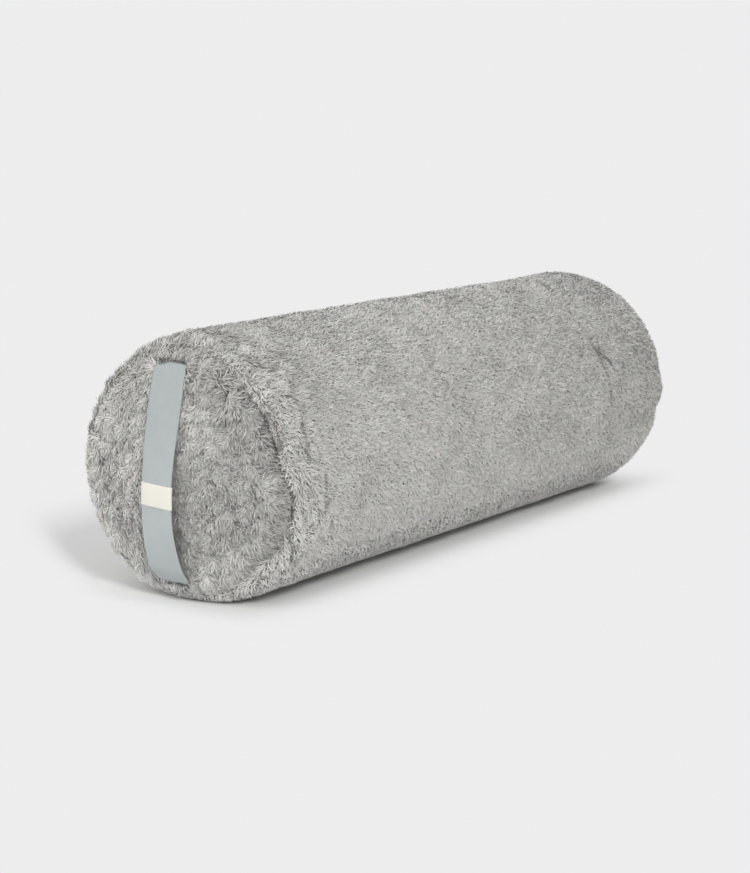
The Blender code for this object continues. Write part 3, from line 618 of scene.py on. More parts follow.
def slits(flat):
    """How near places laid flat lie to a fold's parting and its side, painted as shade, and its lip, painted as
    light.
    """
    bottom, beside, on_lip = np.zeros((3, len(flat)))
    for (depth, half_width, lip, dark), gap, strength in fold_gaps(flat):
        bottom = np.maximum(bottom, strength * dark * hump(gap, 0.0013 + 0.30 * half_width))
        beside = np.maximum(beside, strength * dark * hump(gap, 0.0042))
        on_lip = np.maximum(on_lip, strength * dark * hump(gap - 0.0046, 0.0018))
    return bottom, beside, on_lip


def puckers(places):
    """How the gathered cloth beside the seams stands in ridges that run away from them."""
    angle = from_axis(places)[2]
    round_seam = np.stack([np.cos(angle), np.sin(angle), np.sign(places[:, 0]) * 2.0], 1) * SEAM_RADIUS
    from_seam = np.minimum(places[:, 0] - FRONT_SEAM, REAR_SEAM - places[:, 0])
    falloff = hump(np.maximum(from_seam, 0.0), 0.020) * (0.6 + 0.9 * gathered(angle))
    return falloff * (0.0016 * drift(round_seam, 0.019, 6) + 0.0008 * drift(round_seam, 0.009, 7))


def lap_over_handle(places):
    """Draw the cloth's rolled edge down over the place where the handle comes out of the seam."""
    away, radius, _ = from_axis(places)
    share = hump(places[:, 1] - STRAP_MIDDLE, 0.024) * falling(radius, 0.0975, 0.010)
    share *= (away[:, 2] > 0.0) & (places[:, 0] < FRONT_SEAM + 0.008)
    places[:, 0] -= 0.0030 * share
    return places - away * (0.0040 * share / radius)[:, None]


def press(piece, folded):
    """Move a backing's corners in and out, but none below what it lies on."""
    places = positions(piece)
    relief = 0.0011 * drift(places, 0.075, 3) + 0.0006 * drift(places, 0.034, 4)
    relief += 0.0004 * drift(places, 0.012, 5)
    if folded:
        relief += 0.0011 * hump(places[:, 2] - 0.030, 0.030) * drift(places, 0.021, 8)
        relief += fold_relief(laid(piece)) + puckers(places)
        places = lap_over_handle(places)
    free_part = rising(places[:, 2], 0.0015, 0.012) * rising(slot_gap(places), 0.0, 0.012)
    places += directions(piece) * (relief * free_part)[:, None]
    places[:, 2] = np.maximum(places[:, 2], 0.0008)
    set_positions(piece, places)


press(cover_body, True)
press(cover_front, False)
press(cover_rear, False)
print("deepest fold:", round(-fold_relief(laid(cover_body)).min() * 1000, 1), "mm")

# %% [markdown]
# Along the zip the body panel is open. Its two edges are turned under as a hem: the slot's faces are deleted,
# and the edge that is left is extruded inwards three times, so that it rolls over and goes under the cloth.

# %% Cut the slot and turn its edge under
HEM_STEPS = ((-0.0005, -0.0004), (-0.0006, 0.0002), (-0.0003, 0.0016))


def select_slot_corners():
    """Select the body panel's corners that lie in the slot or on its edge."""
    select_only(cover_body)
    bpy.ops.object.mode_set(mode="EDIT")
    bpy.ops.mesh.select_mode(type="VERT")
    bpy.ops.mesh.select_all(action="DESELECT")
    bpy.ops.object.mode_set(mode="OBJECT")
    cover_body.data.vertices.foreach_set("select", slot_gap(positions(cover_body)) < 0.0004)
    bpy.ops.object.mode_set(mode="EDIT")


select_slot_corners()
bpy.ops.mesh.delete(type="ONLY_FACE")
bpy.ops.mesh.select_all(action="SELECT")
bpy.ops.mesh.delete_loose()
bpy.ops.object.mode_set(mode="OBJECT")
select_slot_corners()
for outwards, under in HEM_STEPS:
    bpy.ops.object.mode_set(mode="EDIT")
    bpy.ops.mesh.extrude_region_move(TRANSFORM_OT_translate={"value": (0.0, 0.0, 0.0)})
    bpy.ops.object.mode_set(mode="OBJECT")
    moving = np.empty(len(cover_body.data.vertices), dtype=bool)
    cover_body.data.vertices.foreach_get("select", moving)
    flat = to_zip(positions(cover_body))
    flat[moving, 2] += outwards
    flat[moving, 1] += np.sign(flat[moving, 1]) * under
    set_positions(cover_body, from_zip(flat))
print("corners on the hem's edge:", moving.sum())

# %% [markdown]
# The handle is a band of twill webbing that lies slack over the crowned end. Its bow was read off the
# photograph: furthest out a little below the middle, where the label is, and tight where it goes into the
# seam. The pile under it lies flat, so the bow is worked out here, before the pile grows.

# %% Find the handle's bow
STRAP_WIDTH = 0.0300
STRAP_WALL = 0.0016
STRAP_HALF_HEIGHT = 0.0901
STRAP_REACH = FRONT_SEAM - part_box("handle_strap")[0].x
STRAP_STAND = 0.0050
STRAP_SAG = 0.25


def strap_depth(height):
    """How far the band's middle stands out from the seam at a height above the axis."""
    share = height / STRAP_HALF_HEIGHT
    slack = share + STRAP_SAG * (1.0 - share ** 2)
    return STRAP_STAND + (STRAP_REACH - STRAP_WALL / 2.0 - STRAP_STAND) * np.clip(1.0 - slack ** 2, 0.0, 1.0)


UPPER_TURN = [(-0.0090, 0.0826), (-0.0040, 0.0828), (0.0010, 0.0832), (0.0042, 0.0828), (0.0064, 0.0812)]
LOWER_TURN = [(0.0112, -0.0778), (0.0078, -0.0815), (0.0045, -0.0845), (0.0010, -0.0854), (-0.0040, -0.0846),
              (-0.0090, -0.0840)]
bow = [(float(strap_depth(height)), height) for height in np.linspace(0.0780, -0.0720, 30)]
STRAP_LINE = through_points(UPPER_TURN + bow + LOWER_TURN, 170)
print("the handle stands out", round(STRAP_LINE[:, 0].max() * 1000, 1), "mm")

# %% [markdown]
# Wool pile is thousands of locks, each a few fibres that lean over the backing and curl. One lock is modelled
# as a thin blade that narrows to a tip, in a few shapes: one lies straight, others sway or hook back. Copies
# are then laid over the backings in code, as a hair system would do, each with its own length, lean and
# shade. The blade has few faces because it is copied hundreds of thousands of times.

# %% Model the locks
def modelled_lock(name, rows, sway, rise):
    """A flat blade along X, narrowed to a tip, swayed sideways and arched over its length."""
    lock, row, across = new_grid(name, len(rows), 1)
    along = np.array(rows)[row]
    width = np.where(along < 1.0, 1.0 - 0.35 * along, 0.0)
    sideways = across * width + sway * np.sin(along * math.pi * 1.15)
    set_positions(lock, np.stack([along, sideways, rise * np.sin(along * math.pi * 0.62)], 1))
    bpy.ops.object.mode_set(mode="EDIT")
    bpy.ops.mesh.select_all(action="SELECT")
    bpy.ops.mesh.remove_doubles(threshold=1e-6)
    bpy.ops.object.mode_set(mode="OBJECT")
    return lock


def modelled_locks(rows):
    """The shapes of a kind of lock, as one array of corners, and the faces that they share."""
    models = [modelled_lock("lock_straight", rows, 0.0, 1.0), modelled_lock("lock_sway", rows, 0.9, 0.9),
              modelled_lock("lock_turned", rows, -1.4, 1.1), modelled_lock("lock_hook", rows, 2.0, 0.8)]
    faces = [list(face.vertices) for face in models[0].data.polygons]
    shapes = np.array([positions(lock) for lock in models])
    for lock in models:
        bpy.data.objects.remove(lock, do_unlink=True)
    return shapes, faces


short_locks = modelled_locks((0.0, 0.5, 1.0))
long_locks = modelled_locks((0.0, 0.36, 0.70, 1.0))
print("corners in a short and a long lock:", short_locks[0].shape[1], long_locks[0].shape[1])

# %% [markdown]
# The locks have to stand evenly, so each face gets as many as its area asks for. Wool also clings together in
# tufts. They are cells round random points, and a lock knows how deep inside its tuft it stands.

# %% Scatter places evenly over a backing
def scatter(cloth, count, seed):
    """Places spread by area over a cloth, with the way it faces there and where each place is laid flat."""
    mesh = cloth.data
    mesh.calc_loop_triangles()
    corners = np.empty(len(mesh.loop_triangles) * 3, dtype=np.int32)
    mesh.loop_triangles.foreach_get("vertices", corners)
    corners = corners.reshape(-1, 3)
    places = positions(cloth)[corners]
    faced = directions(cloth)[corners]
    flat = laid(cloth)[corners]
    area = np.linalg.norm(np.cross(places[:, 1] - places[:, 0], places[:, 2] - places[:, 0]), axis=1)
    total = np.cumsum(area)
    rng = np.random.default_rng(seed)
    picks = np.searchsorted(total, (np.arange(count) + rng.random(count)) / count * total[-1])
    picks = np.minimum(picks, len(total) - 1)
    first = np.sqrt(rng.random(count))
    second = rng.random(count)
    weights = np.stack([1.0 - first, first * (1.0 - second), first * second], 1)[:, :, None]
    normals = (faced[picks] * weights).sum(1)
    normals /= np.linalg.norm(normals, axis=1)[:, None]
    return (places[picks] * weights).sum(1), normals, (flat[picks] * weights).sum(1)


def laid_flat(vectors, normals):
    """The part of each direction that lies in the cloth, at full length."""
    flat = vectors - normals * (vectors * normals).sum(1)[:, None]
    return flat / np.maximum(np.linalg.norm(flat, axis=1), 1e-9)[:, None]


def turned(vectors, normals, angles):
    """Directions in the cloth, turned by angles about what the cloth faces."""
    across = np.cross(normals, vectors)
    return vectors * np.cos(angles)[:, None] + across * np.sin(angles)[:, None]


def tufts(points, size, seed):
    """Cells of about a size: how deep inside its cell each point lies, and a random value for the cell."""
    rng = np.random.default_rng(seed)
    jitter = rng.random((32, 32, 32, 3))
    values = rng.uniform(-1.0, 1.0, (32, 32, 32))
    at = points / size + 320.0
    cell = np.floor(at).astype(int)
    nearest = np.full(len(points), 9.0)
    second = np.full(len(points), 9.0)
    value = np.zeros(len(points))
    for step in np.ndindex(3, 3, 3):
        index = cell + np.array(step) - 1
        key = tuple((index % 32).T)
        gap = np.linalg.norm(at - index - jitter[key], axis=1)
        closer = gap < nearest
        second = np.where(closer, nearest, np.minimum(second, gap))
        value = np.where(closer, values[key], value)
        nearest = np.where(closer, gap, nearest)
    inside = np.clip((second - nearest) / 0.55, 0.0, 1.0)
    return inside * (2.0 - inside), value

# %% [markdown]
# All copies of a lock go into one mesh, which is filled in code because there are so many. Those behind the
# handle are pressed in, so that the band lies over the pile.

# %% Lay copies of the lock
def lay_locks(name, kind, places, normals, lean, sizes, shade, seed):
    """One mesh of locks of a kind. sizes is (length, width, height) for each."""
    rng = np.random.default_rng(seed)
    models, model_faces = kind
    count = len(places)
    length, width, height = sizes
    shapes = models[rng.integers(0, len(models), count)]
    shapes[:, :, 1] *= np.where(rng.random(count) < 0.5, 1.0, -1.0)[:, None]
    across = np.cross(normals, lean)
    along = shapes[:, :, 0:1]
    made = places[:, None, :] + lean[:, None, :] * along * length[:, None, None]
    made = made + across[:, None, :] * shapes[:, :, 1:2] * width[:, None, None] / 2.0
    made = made + normals[:, None, :] * shapes[:, :, 2:3] * height[:, None, None]
    made = under_handle(made.reshape(-1, 3)).reshape(made.shape)
    made[:, :, 2] = np.maximum(made[:, :, 2], 0.0003)

    corners = shapes.shape[1]
    faces = len(model_faces)
    loops = np.concatenate([np.array(face) for face in model_faces])
    starts = np.cumsum([0] + [len(face) for face in model_faces[:-1]])
    mesh = bpy.data.meshes.new(name)
    mesh.vertices.add(count * corners)
    mesh.vertices.foreach_set("co", made.astype(np.float32).ravel())
    every = np.arange(count)[:, None]
    mesh.loops.add(count * len(loops))
    mesh.loops.foreach_set("vertex_index", (every * corners + loops).astype(np.int32).ravel())
    mesh.polygons.add(count * faces)
    mesh.polygons.foreach_set("loop_start", (every * len(loops) + starts).astype(np.int32).ravel())
    mesh.update(calc_edges=True)
    bake_map = mesh.uv_layers.new(name=BAKE_MAP)
    strip = 0.012
    flat_across = np.clip(models[0][:, 1] / 2.0 + 0.5, 0.0, 1.0)[loops]
    u = np.clip(shade, 0.0, 1.0)[:, None] * (1.0 - strip) + strip * flat_across
    v = np.broadcast_to(0.6 * models[0][:, 0][loops], u.shape)
    bake_map.data.foreach_set("uv", np.stack([u, v], 2).astype(np.float32).ravel())
    pile = bpy.data.objects.new(name, mesh)
    bpy.context.scene.collection.objects.link(pile)
    return pile


def under_handle(places):
    """Press what lies behind the handle in, so that the band lies over the pile."""
    height = places[:, 2] - AXIS_HEIGHT
    behind = (np.abs(places[:, 1] - STRAP_MIDDLE) < STRAP_WIDTH / 2.0 + 0.0006) & (np.abs(height) < 0.0845)
    behind &= places[:, 0] < FRONT_SEAM + 0.01
    shown = STRAP_LINE[STRAP_LINE[:, 0] > 0.0040][::-1]
    limit = FRONT_SEAM - np.interp(height, shown[:, 1], shown[:, 0]) + STRAP_WALL / 2.0 + 0.0003
    places[behind, 0] = np.maximum(places[behind, 0], limit[behind])
    return places


print("locks can be laid")

# %% [markdown]
# Wool is lit in its tips and dark down among its roots, and no two fibres are quite the same grey. Each lock
# lies on the material's map as a narrow strip: the place across the map is its shade, which holds the pile's
# painted light and shade as well as its own grey, and the place up the map runs from root to tip. So one ramp
# colours every lock, painted darker towards the roots as shade, a fine noise drawn out along the strip gives
# the fibres in it, and the finish can be baked exactly. The backing below is painted dark grey, as the shade
# down among the roots.

# %% Mix the wool
wool = Finish("grey_wool", {"Roughness": 0.92, "Sheen Weight": 0.25, "Sheen Roughness": 0.5,
                            "Specular IOR Level": 0.15})
wool_map = wool.node("UVMap", {}, uv_map=BAKE_MAP)
shade_across = wool.part(wool_map, 0)
root_to_tip = wool.part(wool_map, 1) / 0.6
strands_at = wool.node("CombineXYZ", {0: shade_across * 420.0, 1: root_to_tip * 2.5})
strands = wool.noise(strands_at, 1.0, 2.0)
tone = shade_across + (strands - 0.5) * 0.40 + (root_to_tip - 0.5) * 0.18
wool.colour(tone, (0.0, (0.11, 0.109, 0.104)), (0.12, (0.30, 0.298, 0.287)), (0.30, (0.49, 0.486, 0.468)),
            (0.55, (0.63, 0.626, 0.605)), (0.80, (0.74, 0.736, 0.715)), (1.0, (0.82, 0.815, 0.795)))
wool.bump(strands, 0.5, 0.0004)

# The backing is painted dark grey, as shade down among the roots and in the folds
backing = Finish("knitted_backing", {"Roughness": 0.95, "Specular IOR Level": 0.1})
stitches = backing.noise(backing.place(), 900.0, 3.0)
backing.colour(stitches, (0.25, (0.19, 0.188, 0.180)), (0.75, (0.38, 0.376, 0.361)))
backing.bump(stitches, 0.6, 0.0006)
print("wool nodes:", len(wool.tree.nodes))

# %% [markdown]
# The nap of a cloth leans one way. Round the tube it leans down the near side and a little along, so its
# streaks run slantwise, and it strays in patches where hands have stroked it. Over the roll beside a seam it
# leans in to the seam. On the ends the pile is longer and tousled: it stands in soft tufts, each leaning its
# own way, and near the rim it leans out and stands up, so the seam is only seen as a furrow in the wool.

# %% Comb the pile
ALONG = np.array([1.0, 0.0, 0.0])


def comb_tube(places, normals, tuft_value):
    """The nap on the body panel."""
    around = laid_flat(np.cross(ALONG, normals), normals)
    angle = 0.75 + 0.5 * drift(places, 0.030, 11) + 0.55 * tuft_value
    away, radius, _ = from_axis(places)
    rolled = falling(radius, 0.0955, 0.006)[:, None]
    lean = turned(around, normals, angle) * (1.0 - 0.8 * rolled) - away / radius[:, None] * rolled
    return laid_flat(lean, normals)


def comb_end(places, normals, tuft_value):
    """The tousled nap on an end panel."""
    down = laid_flat(np.broadcast_to(np.array([0.0, -0.45, -1.0]), normals.shape), normals)
    angle = 1.1 * drift(places, 0.034, 13) + 1.1 * tuft_value
    away, radius, _ = from_axis(places)
    rim = rising(radius, 0.068, 0.012)[:, None]
    lean = turned(down, normals, angle) + laid_flat(away + 1e-6, normals) * rim * 1.1
    return laid_flat(lean, normals)


def beside_seam(places):
    """How near places lie to the furrow of the front seam on the near side, from 0 to 1."""
    _, radius, angle = from_axis(places)
    near_side = falling(np.abs(angle - math.radians(172.0)), math.radians(42.0), 0.2)
    furrow = hump(radius - 0.0845 - 0.0085 * gathered(angle), 0.0050)
    return furrow * near_side * (places[:, 0] < FRONT_SEAM + 0.012)


print("the nap can be combed")

# %% [markdown]
# Besides the lamps, broad light and shade are painted into the wool's grey: the tube is paler low down and on
# top and darker towards its far end, and an end panel is paler low down and towards the far side and darker at
# the top. They were matched to the photograph by the mean grey of a few regions.

# %% Paint light and shade into the pile
def tube_painted_light(places):
    """Painted light and shade on the body panel's wool: paler low down and on top, darker towards the far end.
    """
    low_part = falling(places[:, 2], 0.09, 0.06)
    top_part = rising(places[:, 2], 0.14, 0.04) * hump(places[:, 0] - 0.03, 0.15)
    return 0.05 + 0.23 * low_part + 0.10 * top_part - 0.15 * rising(places[:, 0], -0.15, 0.38)


def end_painted_light(places, strength):
    """Painted light and shade on an end panel's wool: paler low down and towards the far side, darker at the
    top.
    """
    sideways = np.clip(places[:, 1] / 0.06, -1.0, 1.0)
    low_part = falling(places[:, 2], 0.062, 0.03)
    top_part = rising(places[:, 2], 0.135, 0.03)
    return strength * (0.13 * sideways + 0.12 * low_part - 0.08 * top_part) - 0.01


print("shade of the tube's middle:", tube_painted_light(np.array([[0.0, 0.0, 0.1]])).round(3))

# %% [markdown]
# Now each panel gets its pile. Locks across a fold are short, so the pile parts there, and they are painted
# dark as shade; those on its lip stand up and are painted pale as light. The pile is short beside the zip's
# slot, under the puller and near the floor.

# %% Grow the pile on the cover
# A lock's length, width and height
SHORT_LOCK = (0.0044, 0.00078, 0.0016)
LONG_LOCK = (0.0056, 0.00070, 0.0023)
WIDE_TUFT = 0.0115
END_STRAY = 0.55
# How strongly each end panel's painted light and shade is laid on
END_PAINTED_LIGHT = {"cover_front": 1.0, "cover_rear": 0.3}


def can_grow(places, normals, chance):
    """Where locks grow: not in the slot or on what lies on the floor, and half as many low down."""
    under = (places[:, 2] < 0.004) & (normals[:, 2] < -0.9) & (np.abs(places[:, 1]) < 0.026)
    thinned = (places[:, 2] < 0.035) & (normals[:, 2] < -0.5) & (chance < 0.5)
    return (slot_gap(places) > 0.0006) & ~under & ~thinned


def grow(cloth, count, kind, comb, base, tuft, seed):
    """Grow a cloth's pile and join it to its backing. tuft is the tufts' width and how high they stand."""
    on_tube = kind is short_locks
    places, normals, flat = scatter(cloth, count, seed)
    rng = np.random.default_rng(seed + 1)
    kept = can_grow(places, normals, rng.random(len(places)))
    places, normals, flat = places[kept], normals[kept], flat[kept]
    many = len(places)
    tuft_width, tuft_height = tuft
    inside, value = tufts(places, tuft_width, seed + 5)
    fine_inside, fine_value = tufts(places, tuft_width * 0.45, seed + 6)
    tousled = np.zeros(many)
    if on_tube:
        tousled = falling(places[:, 0], -0.222, 0.045)
        wide_inside, wide_value = tufts(places, WIDE_TUFT, seed + 7)
        inside += (wide_inside - inside) * tousled
        value += (wide_value - value) * tousled
        tuft_height = tuft_height + 0.0013 * tousled

    furrow = beside_seam(places)
    around = laid_flat(np.cross(ALONG, normals), normals)
    lean = comb(places, normals, 0.65 * value * (1.0 + tousled) + 0.5 * fine_value)
    lean = laid_flat(lean * (1.0 - furrow)[:, None] + around * furrow[:, None], normals)
    beside = np.maximum(slits(flat)[1], furrow) if on_tube else furrow
    stray = 0.90 - 0.30 * np.clip(beside + tousled, 0.0, 1.0) if on_tube else END_STRAY
    lean = turned(lean, normals, rng.normal(0.0, 1.0, many) * stray)

    shoulder = rising(np.abs(places[:, 0] - (FRONT_SEAM + REAR_SEAM) / 2.0), 0.262, 0.03)
    grown = (1.0 + 0.10 * shoulder + 0.06 * tousled + rng.normal(0.0, 0.16, many)) * (1.0 - 0.6 * beside)
    near_slot = np.clip(slot_gap(places) / 0.006, 0.25, 1.0) * (1.0 - 0.8 * under_puller(places))
    near_floor = np.clip((places[:, 2] - 0.001) / 0.012, 0.35, 1.0)
    length, width, height = base
    lengths = length * np.clip(grown, 0.45, 1.9) * near_slot
    widths = width * rng.uniform(0.7, 1.3, many) * (1.0 - 0.15 * tousled)
    heights = height * np.clip(grown, 0.4, 1.9) * rng.uniform(0.35, 1.3, many) * near_slot * near_floor
    raised = tuft_height * (inside + 0.4 * fine_inside - 0.4) * (1.0 + 0.3 * shoulder)
    raised = raised * near_slot * near_floor
    raised = raised * (1.0 - 0.85 * np.minimum(beside, 1.0)) - 0.0006 * beside

    if on_tube:
        onwards = np.cross(normals, around)
        step = np.stack([(lean * onwards).sum(1), (lean * around).sum(1)], 1)

        def slits_under(share):
            """What lies under a share of each lock's length."""
            return slits(flat[:, :2] + step * (lengths * share)[:, None])

        crossing = np.maximum(slits_under(0.55)[0], slits_under(1.0)[0])
        lengths = lengths * (1.0 - 0.65 * crossing)
        heights = heights * (1.0 - 0.50 * crossing)
        fold, beside, on_lip = slits_under(0.45)
        raised = raised + 0.0008 * on_lip
    else:
        fold = on_lip = 0.0
        edge = rising(from_axis(places)[1], 0.064, 0.015)
        raised = raised + 0.0030 * edge * (1.0 - 0.8 * furrow)
        lengths = lengths * (1.0 + 0.35 * edge * (1.0 - furrow))
    places = places + normals * raised[:, None]
    # A lock's own grey drifts at random and differs from tuft to tuft; painted shade makes it darker towards
    # the edge of its tuft, where the gaps between tufts lie in shade
    shade = 0.31 + 0.09 * drift(places, 0.024, 21) + 0.14 * inside + 0.10 * fine_inside + 0.05 * value
    # Painted shade darkens the pile in a fold's parting and beside it, and beside the seam's furrow; painted
    # light makes it paler on a fold's lip
    shade = shade + rng.normal(0.0, 0.10, many) - 0.12 * beside - 1.2 * fold + 0.16 * on_lip
    # Broad painted light and shade over the tube and over each end panel
    shade = shade + (tube_painted_light(places) if on_tube else end_painted_light(places, END_PAINTED_LIGHT[cloth.name]))

    # The backing's own map moves up, clear of the part of the map that the locks lie on
    spread = np.empty(len(cloth.data.loops) * 2)
    cloth.data.uv_layers[0].data.foreach_get("uv", spread)
    spread[1::2] = 0.64 + 0.34 * spread[1::2]
    cloth.data.uv_layers[0].data.foreach_set("uv", spread)
    sizes = (lengths, widths, heights)
    pile = lay_locks(cloth.name + "_pile", kind, places, normals, lean, sizes, shade, seed)
    backing.dress(cloth)
    wool.dress(pile)
    cloth.data.attributes.remove(cloth.data.attributes[LAID])
    select_only(cloth)
    pile.select_set(True)
    bpy.ops.object.join()
    return many


END_LOCKS = (80_000, long_locks, comb_end, LONG_LOCK, (0.0115, 0.0026))
grown = [grow(cover_body, 330_000, short_locks, comb_tube, SHORT_LOCK, (0.0070, 0.0008), 101),
         grow(cover_front, *END_LOCKS, 202), grow(cover_rear, *END_LOCKS, 303)]
print("locks on body, front and rear:", grown)

# %% [markdown]
# The handle's webbing, the label, the zip's tapes and the inner case are all woven. Each carries a map in
# metres, across and along its cloth, so one function weaves them all: warp threads lie side by side, and the
# floats that cross them step sideways in a twill or run straight in a plain weave.

# %% Weave the cloth finishes
CLOTH_MAP = "cloth_metres"


def woven(name, dark, light, thread, slant, roughness, falloff=0.0):
    """A woven finish. thread is the pitch of its threads, slant steps the floats sideways, and the last value
    is how much darker the colour is painted higher up, as painted shade."""
    cloth = Finish(name, {"Roughness": roughness, "Specular IOR Level": 0.25, "Sheen Weight": 0.12})
    at = cloth.node("UVMap", {}, uv_map=CLOTH_MAP)
    across = cloth.part(at, 0)
    along = cloth.part(at, 1)
    warp = (across * (math.pi / thread)).wave()
    floats = ((across * slant + along) * (math.pi / thread / 1.5)).wave()
    weave = warp * warp * 0.5 + floats * floats * 0.5
    fibres = cloth.noise(at, 1500.0, 3.0)
    tone = weave * 0.45 + cloth.noise(at, 70.0, 4.0) * 0.25 + fibres * 0.45
    # Painted shade: the colour is made darker higher up
    if falloff:
        height = cloth.part(cloth.place(), 2)
        tone = tone - cloth.node("MapRange", {0: height, 1: 0.07, 2: 0.14, 3: 0.0, 4: falloff})
    cloth.colour(tone, (0.2, dark), (0.9, light))
    cloth.bump(weave + fibres * 0.4, 0.7, thread * 0.35)
    return cloth


def lay_map(piece, across, along):
    """Give a piece its map in metres, from a value across and one along for each of its corners."""
    corners = np.empty(len(piece.data.loops), dtype=np.int32)
    piece.data.loops.foreach_get("vertex_index", corners)
    piece.data.uv_layers[0].name = CLOTH_MAP
    spread = np.stack([across[corners], along[corners]], 1)
    piece.data.uv_layers[0].data.foreach_set("uv", spread.astype(np.float32).ravel())


webbing = woven("handle_webbing", (0.350, 0.380, 0.382), (0.510, 0.545, 0.545), 0.0009, 0.7, 0.85, 0.22)
label_cloth = woven("label_satin", (0.70, 0.68, 0.60), (0.84, 0.82, 0.745), 0.0004, 0.0, 0.75)
zip_cloth = woven("zip_tape_weave", (0.30, 0.32, 0.33), (0.47, 0.49, 0.495), 0.0006, 1.0, 0.8)
case_cloth = woven("case_cotton", (0.62, 0.60, 0.55), (0.80, 0.78, 0.72), 0.0007, 0.0, 0.9)
print("woven finishes: webbing, label, zip tape, case")

# %% [markdown]
# The handle comes out of the seam between the end and the roll above it, turns down and bows over the end.
# Its flat grid is laid along the bow in code and then thickened and rounded. The webbing is a little cupped,
# and near the label it turns slightly towards the near side, as the photograph shows.

# %% Model the handle
def round_edges(piece, width, segments=2, sharper_than=50.0):
    """Round the edges of a piece that are sharper than an angle in degrees."""
    soft = piece.modifiers.new("rounding", "BEVEL")
    soft.width = width
    soft.segments = segments
    soft.limit_method = "ANGLE"
    soft.angle_limit = math.radians(sharper_than)


def finish_modifiers(piece):
    """Apply a piece's modifiers and set its faces outwards and smooth."""
    select_only(piece)
    for modifier in list(piece.modifiers):
        bpy.ops.object.modifier_apply(modifier=modifier.name)
    bpy.ops.object.mode_set(mode="EDIT")
    bpy.ops.mesh.select_all(action="SELECT")
    bpy.ops.mesh.normals_make_consistent(inside=False)
    bpy.ops.object.mode_set(mode="OBJECT")
    bpy.ops.object.shade_smooth_by_angle(angle=math.radians(50.0))


def thicken(piece, wall, offset, rounding):
    """Give a cloth its wall, with rounded edges."""
    solid = piece.modifiers.new("wall", "SOLIDIFY")
    solid.thickness = wall
    solid.offset = offset
    round_edges(piece, rounding)
    finish_modifiers(piece)


def on_handle(depth, height, across):
    """Places on the band's middle surface: it follows the round seam at its ends and is cupped between."""
    y = STRAP_MIDDLE + across
    roundness = rising(np.abs(height) / SEAM_RADIUS, 0.72, 0.20)
    drop = np.abs(height) - np.sqrt(np.maximum(height ** 2 - y ** 2, 0.0))
    z = AXIS_HEIGHT + height - np.sign(height) * drop * roundness
    free = rising(depth, 0.0, 0.012)
    cup = 0.0005 * (1.0 - (2.0 * across / STRAP_WIDTH) ** 2) * free
    twist = -0.15 * across * hump(height + 0.014, 0.040) * free
    places = np.stack([FRONT_SEAM - depth - cup - twist, y, z], 1)
    places[:, 0] += 0.00025 * drift(places, 0.014, 31)
    return places


handle, row, across = new_grid("handle", len(STRAP_LINE), 16)
depth, height = STRAP_LINE[row].T
places = on_handle(depth, height, across * STRAP_WIDTH / 2.0)
set_positions(handle, places)
run = np.concatenate([[0.0], np.cumsum(np.linalg.norm(np.diff(STRAP_LINE, axis=0), axis=1))])
lay_map(handle, across * STRAP_WIDTH / 2.0, run[row])
thicken(handle, STRAP_WALL, 0.0, 0.0004)
webbing.dress(handle)
print("the webbing is", round(run[-1] * 1000), "mm long between its hidden ends")

# %% [markdown]
# The label is a sleeve of cream satin ribbon round the webbing. It stays bare. Its grid is rolled round the
# band, a little wider than it, and its ends are turned in.

# %% Model the label
label_low, label_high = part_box("handle_label")
LABEL_ROWS = [-0.0004, 0.0, 0.0006, *np.linspace(0.0020, 0.0142, 9), 0.0156, 0.0162, 0.0166]
label, row, turn = new_grid("label", len(LABEL_ROWS), 64)
turn = (turn + 1.0) * math.pi
height = label_low.z - AXIS_HEIGHT + np.array(LABEL_ROWS)[row]
turned_in = np.where((row == 0) | (row == len(LABEL_ROWS) - 1), 0.0003, 0.0)
half_width = STRAP_WIDTH / 2.0 + 0.0008 - turned_in
round_cos = np.sign(np.cos(turn)) * np.abs(np.cos(turn)) ** 0.5
round_sin = np.sign(np.sin(turn)) * np.abs(np.sin(turn)) ** 0.35
across = half_width * round_cos
shown = STRAP_LINE[5:-5][::-1]
depth = np.interp(height, shown[:, 1], shown[:, 0])
places = on_handle(depth, height + 0.03 * across, across)
places[:, 0] -= (STRAP_WALL / 2.0 + 0.0006 - turned_in) * round_sin
set_positions(label, places)
lay_map(label, across, height)
thicken(label, 0.00035, 1.0, 0.00008)
label_cloth.dress(label)
print("label from", round(label_low.z, 4), "to", round(label_high.z, 4), "m above the floor")

# %% [markdown]
# The zip is a nylon coil zip: two woven tapes, and on the edge of each a thread of nylon coiled flat, whose
# loops hook into the other's. One loop is drawn as a curve and repeated along the tape. Inside the slider the
# two coils part, so there the loops move apart.

# %% Model the zip's tapes and coils
TAPE_EDGE = 0.00035
TAPE_WIDTH = 0.0155
TAPE_HALF_LENGTH = 0.246
TAPE_MIDDLE_OUT = 0.09874
LOOP_PITCH = 0.0016
CHAIN_START = -0.2270
CHAIN_STOP = 0.2300
LOOP = [(0.00, 3.10, 0.0), (0.02, 1.60, 0.0), (0.05, 0.10, 0.0), (0.15, -0.75, 0.55), (0.25, 0.10, 1.20),
        (0.35, 1.60, 1.30), (0.48, 3.00, 1.30), (0.72, 3.45, 0.65), (1.00, 3.10, 0.0)]


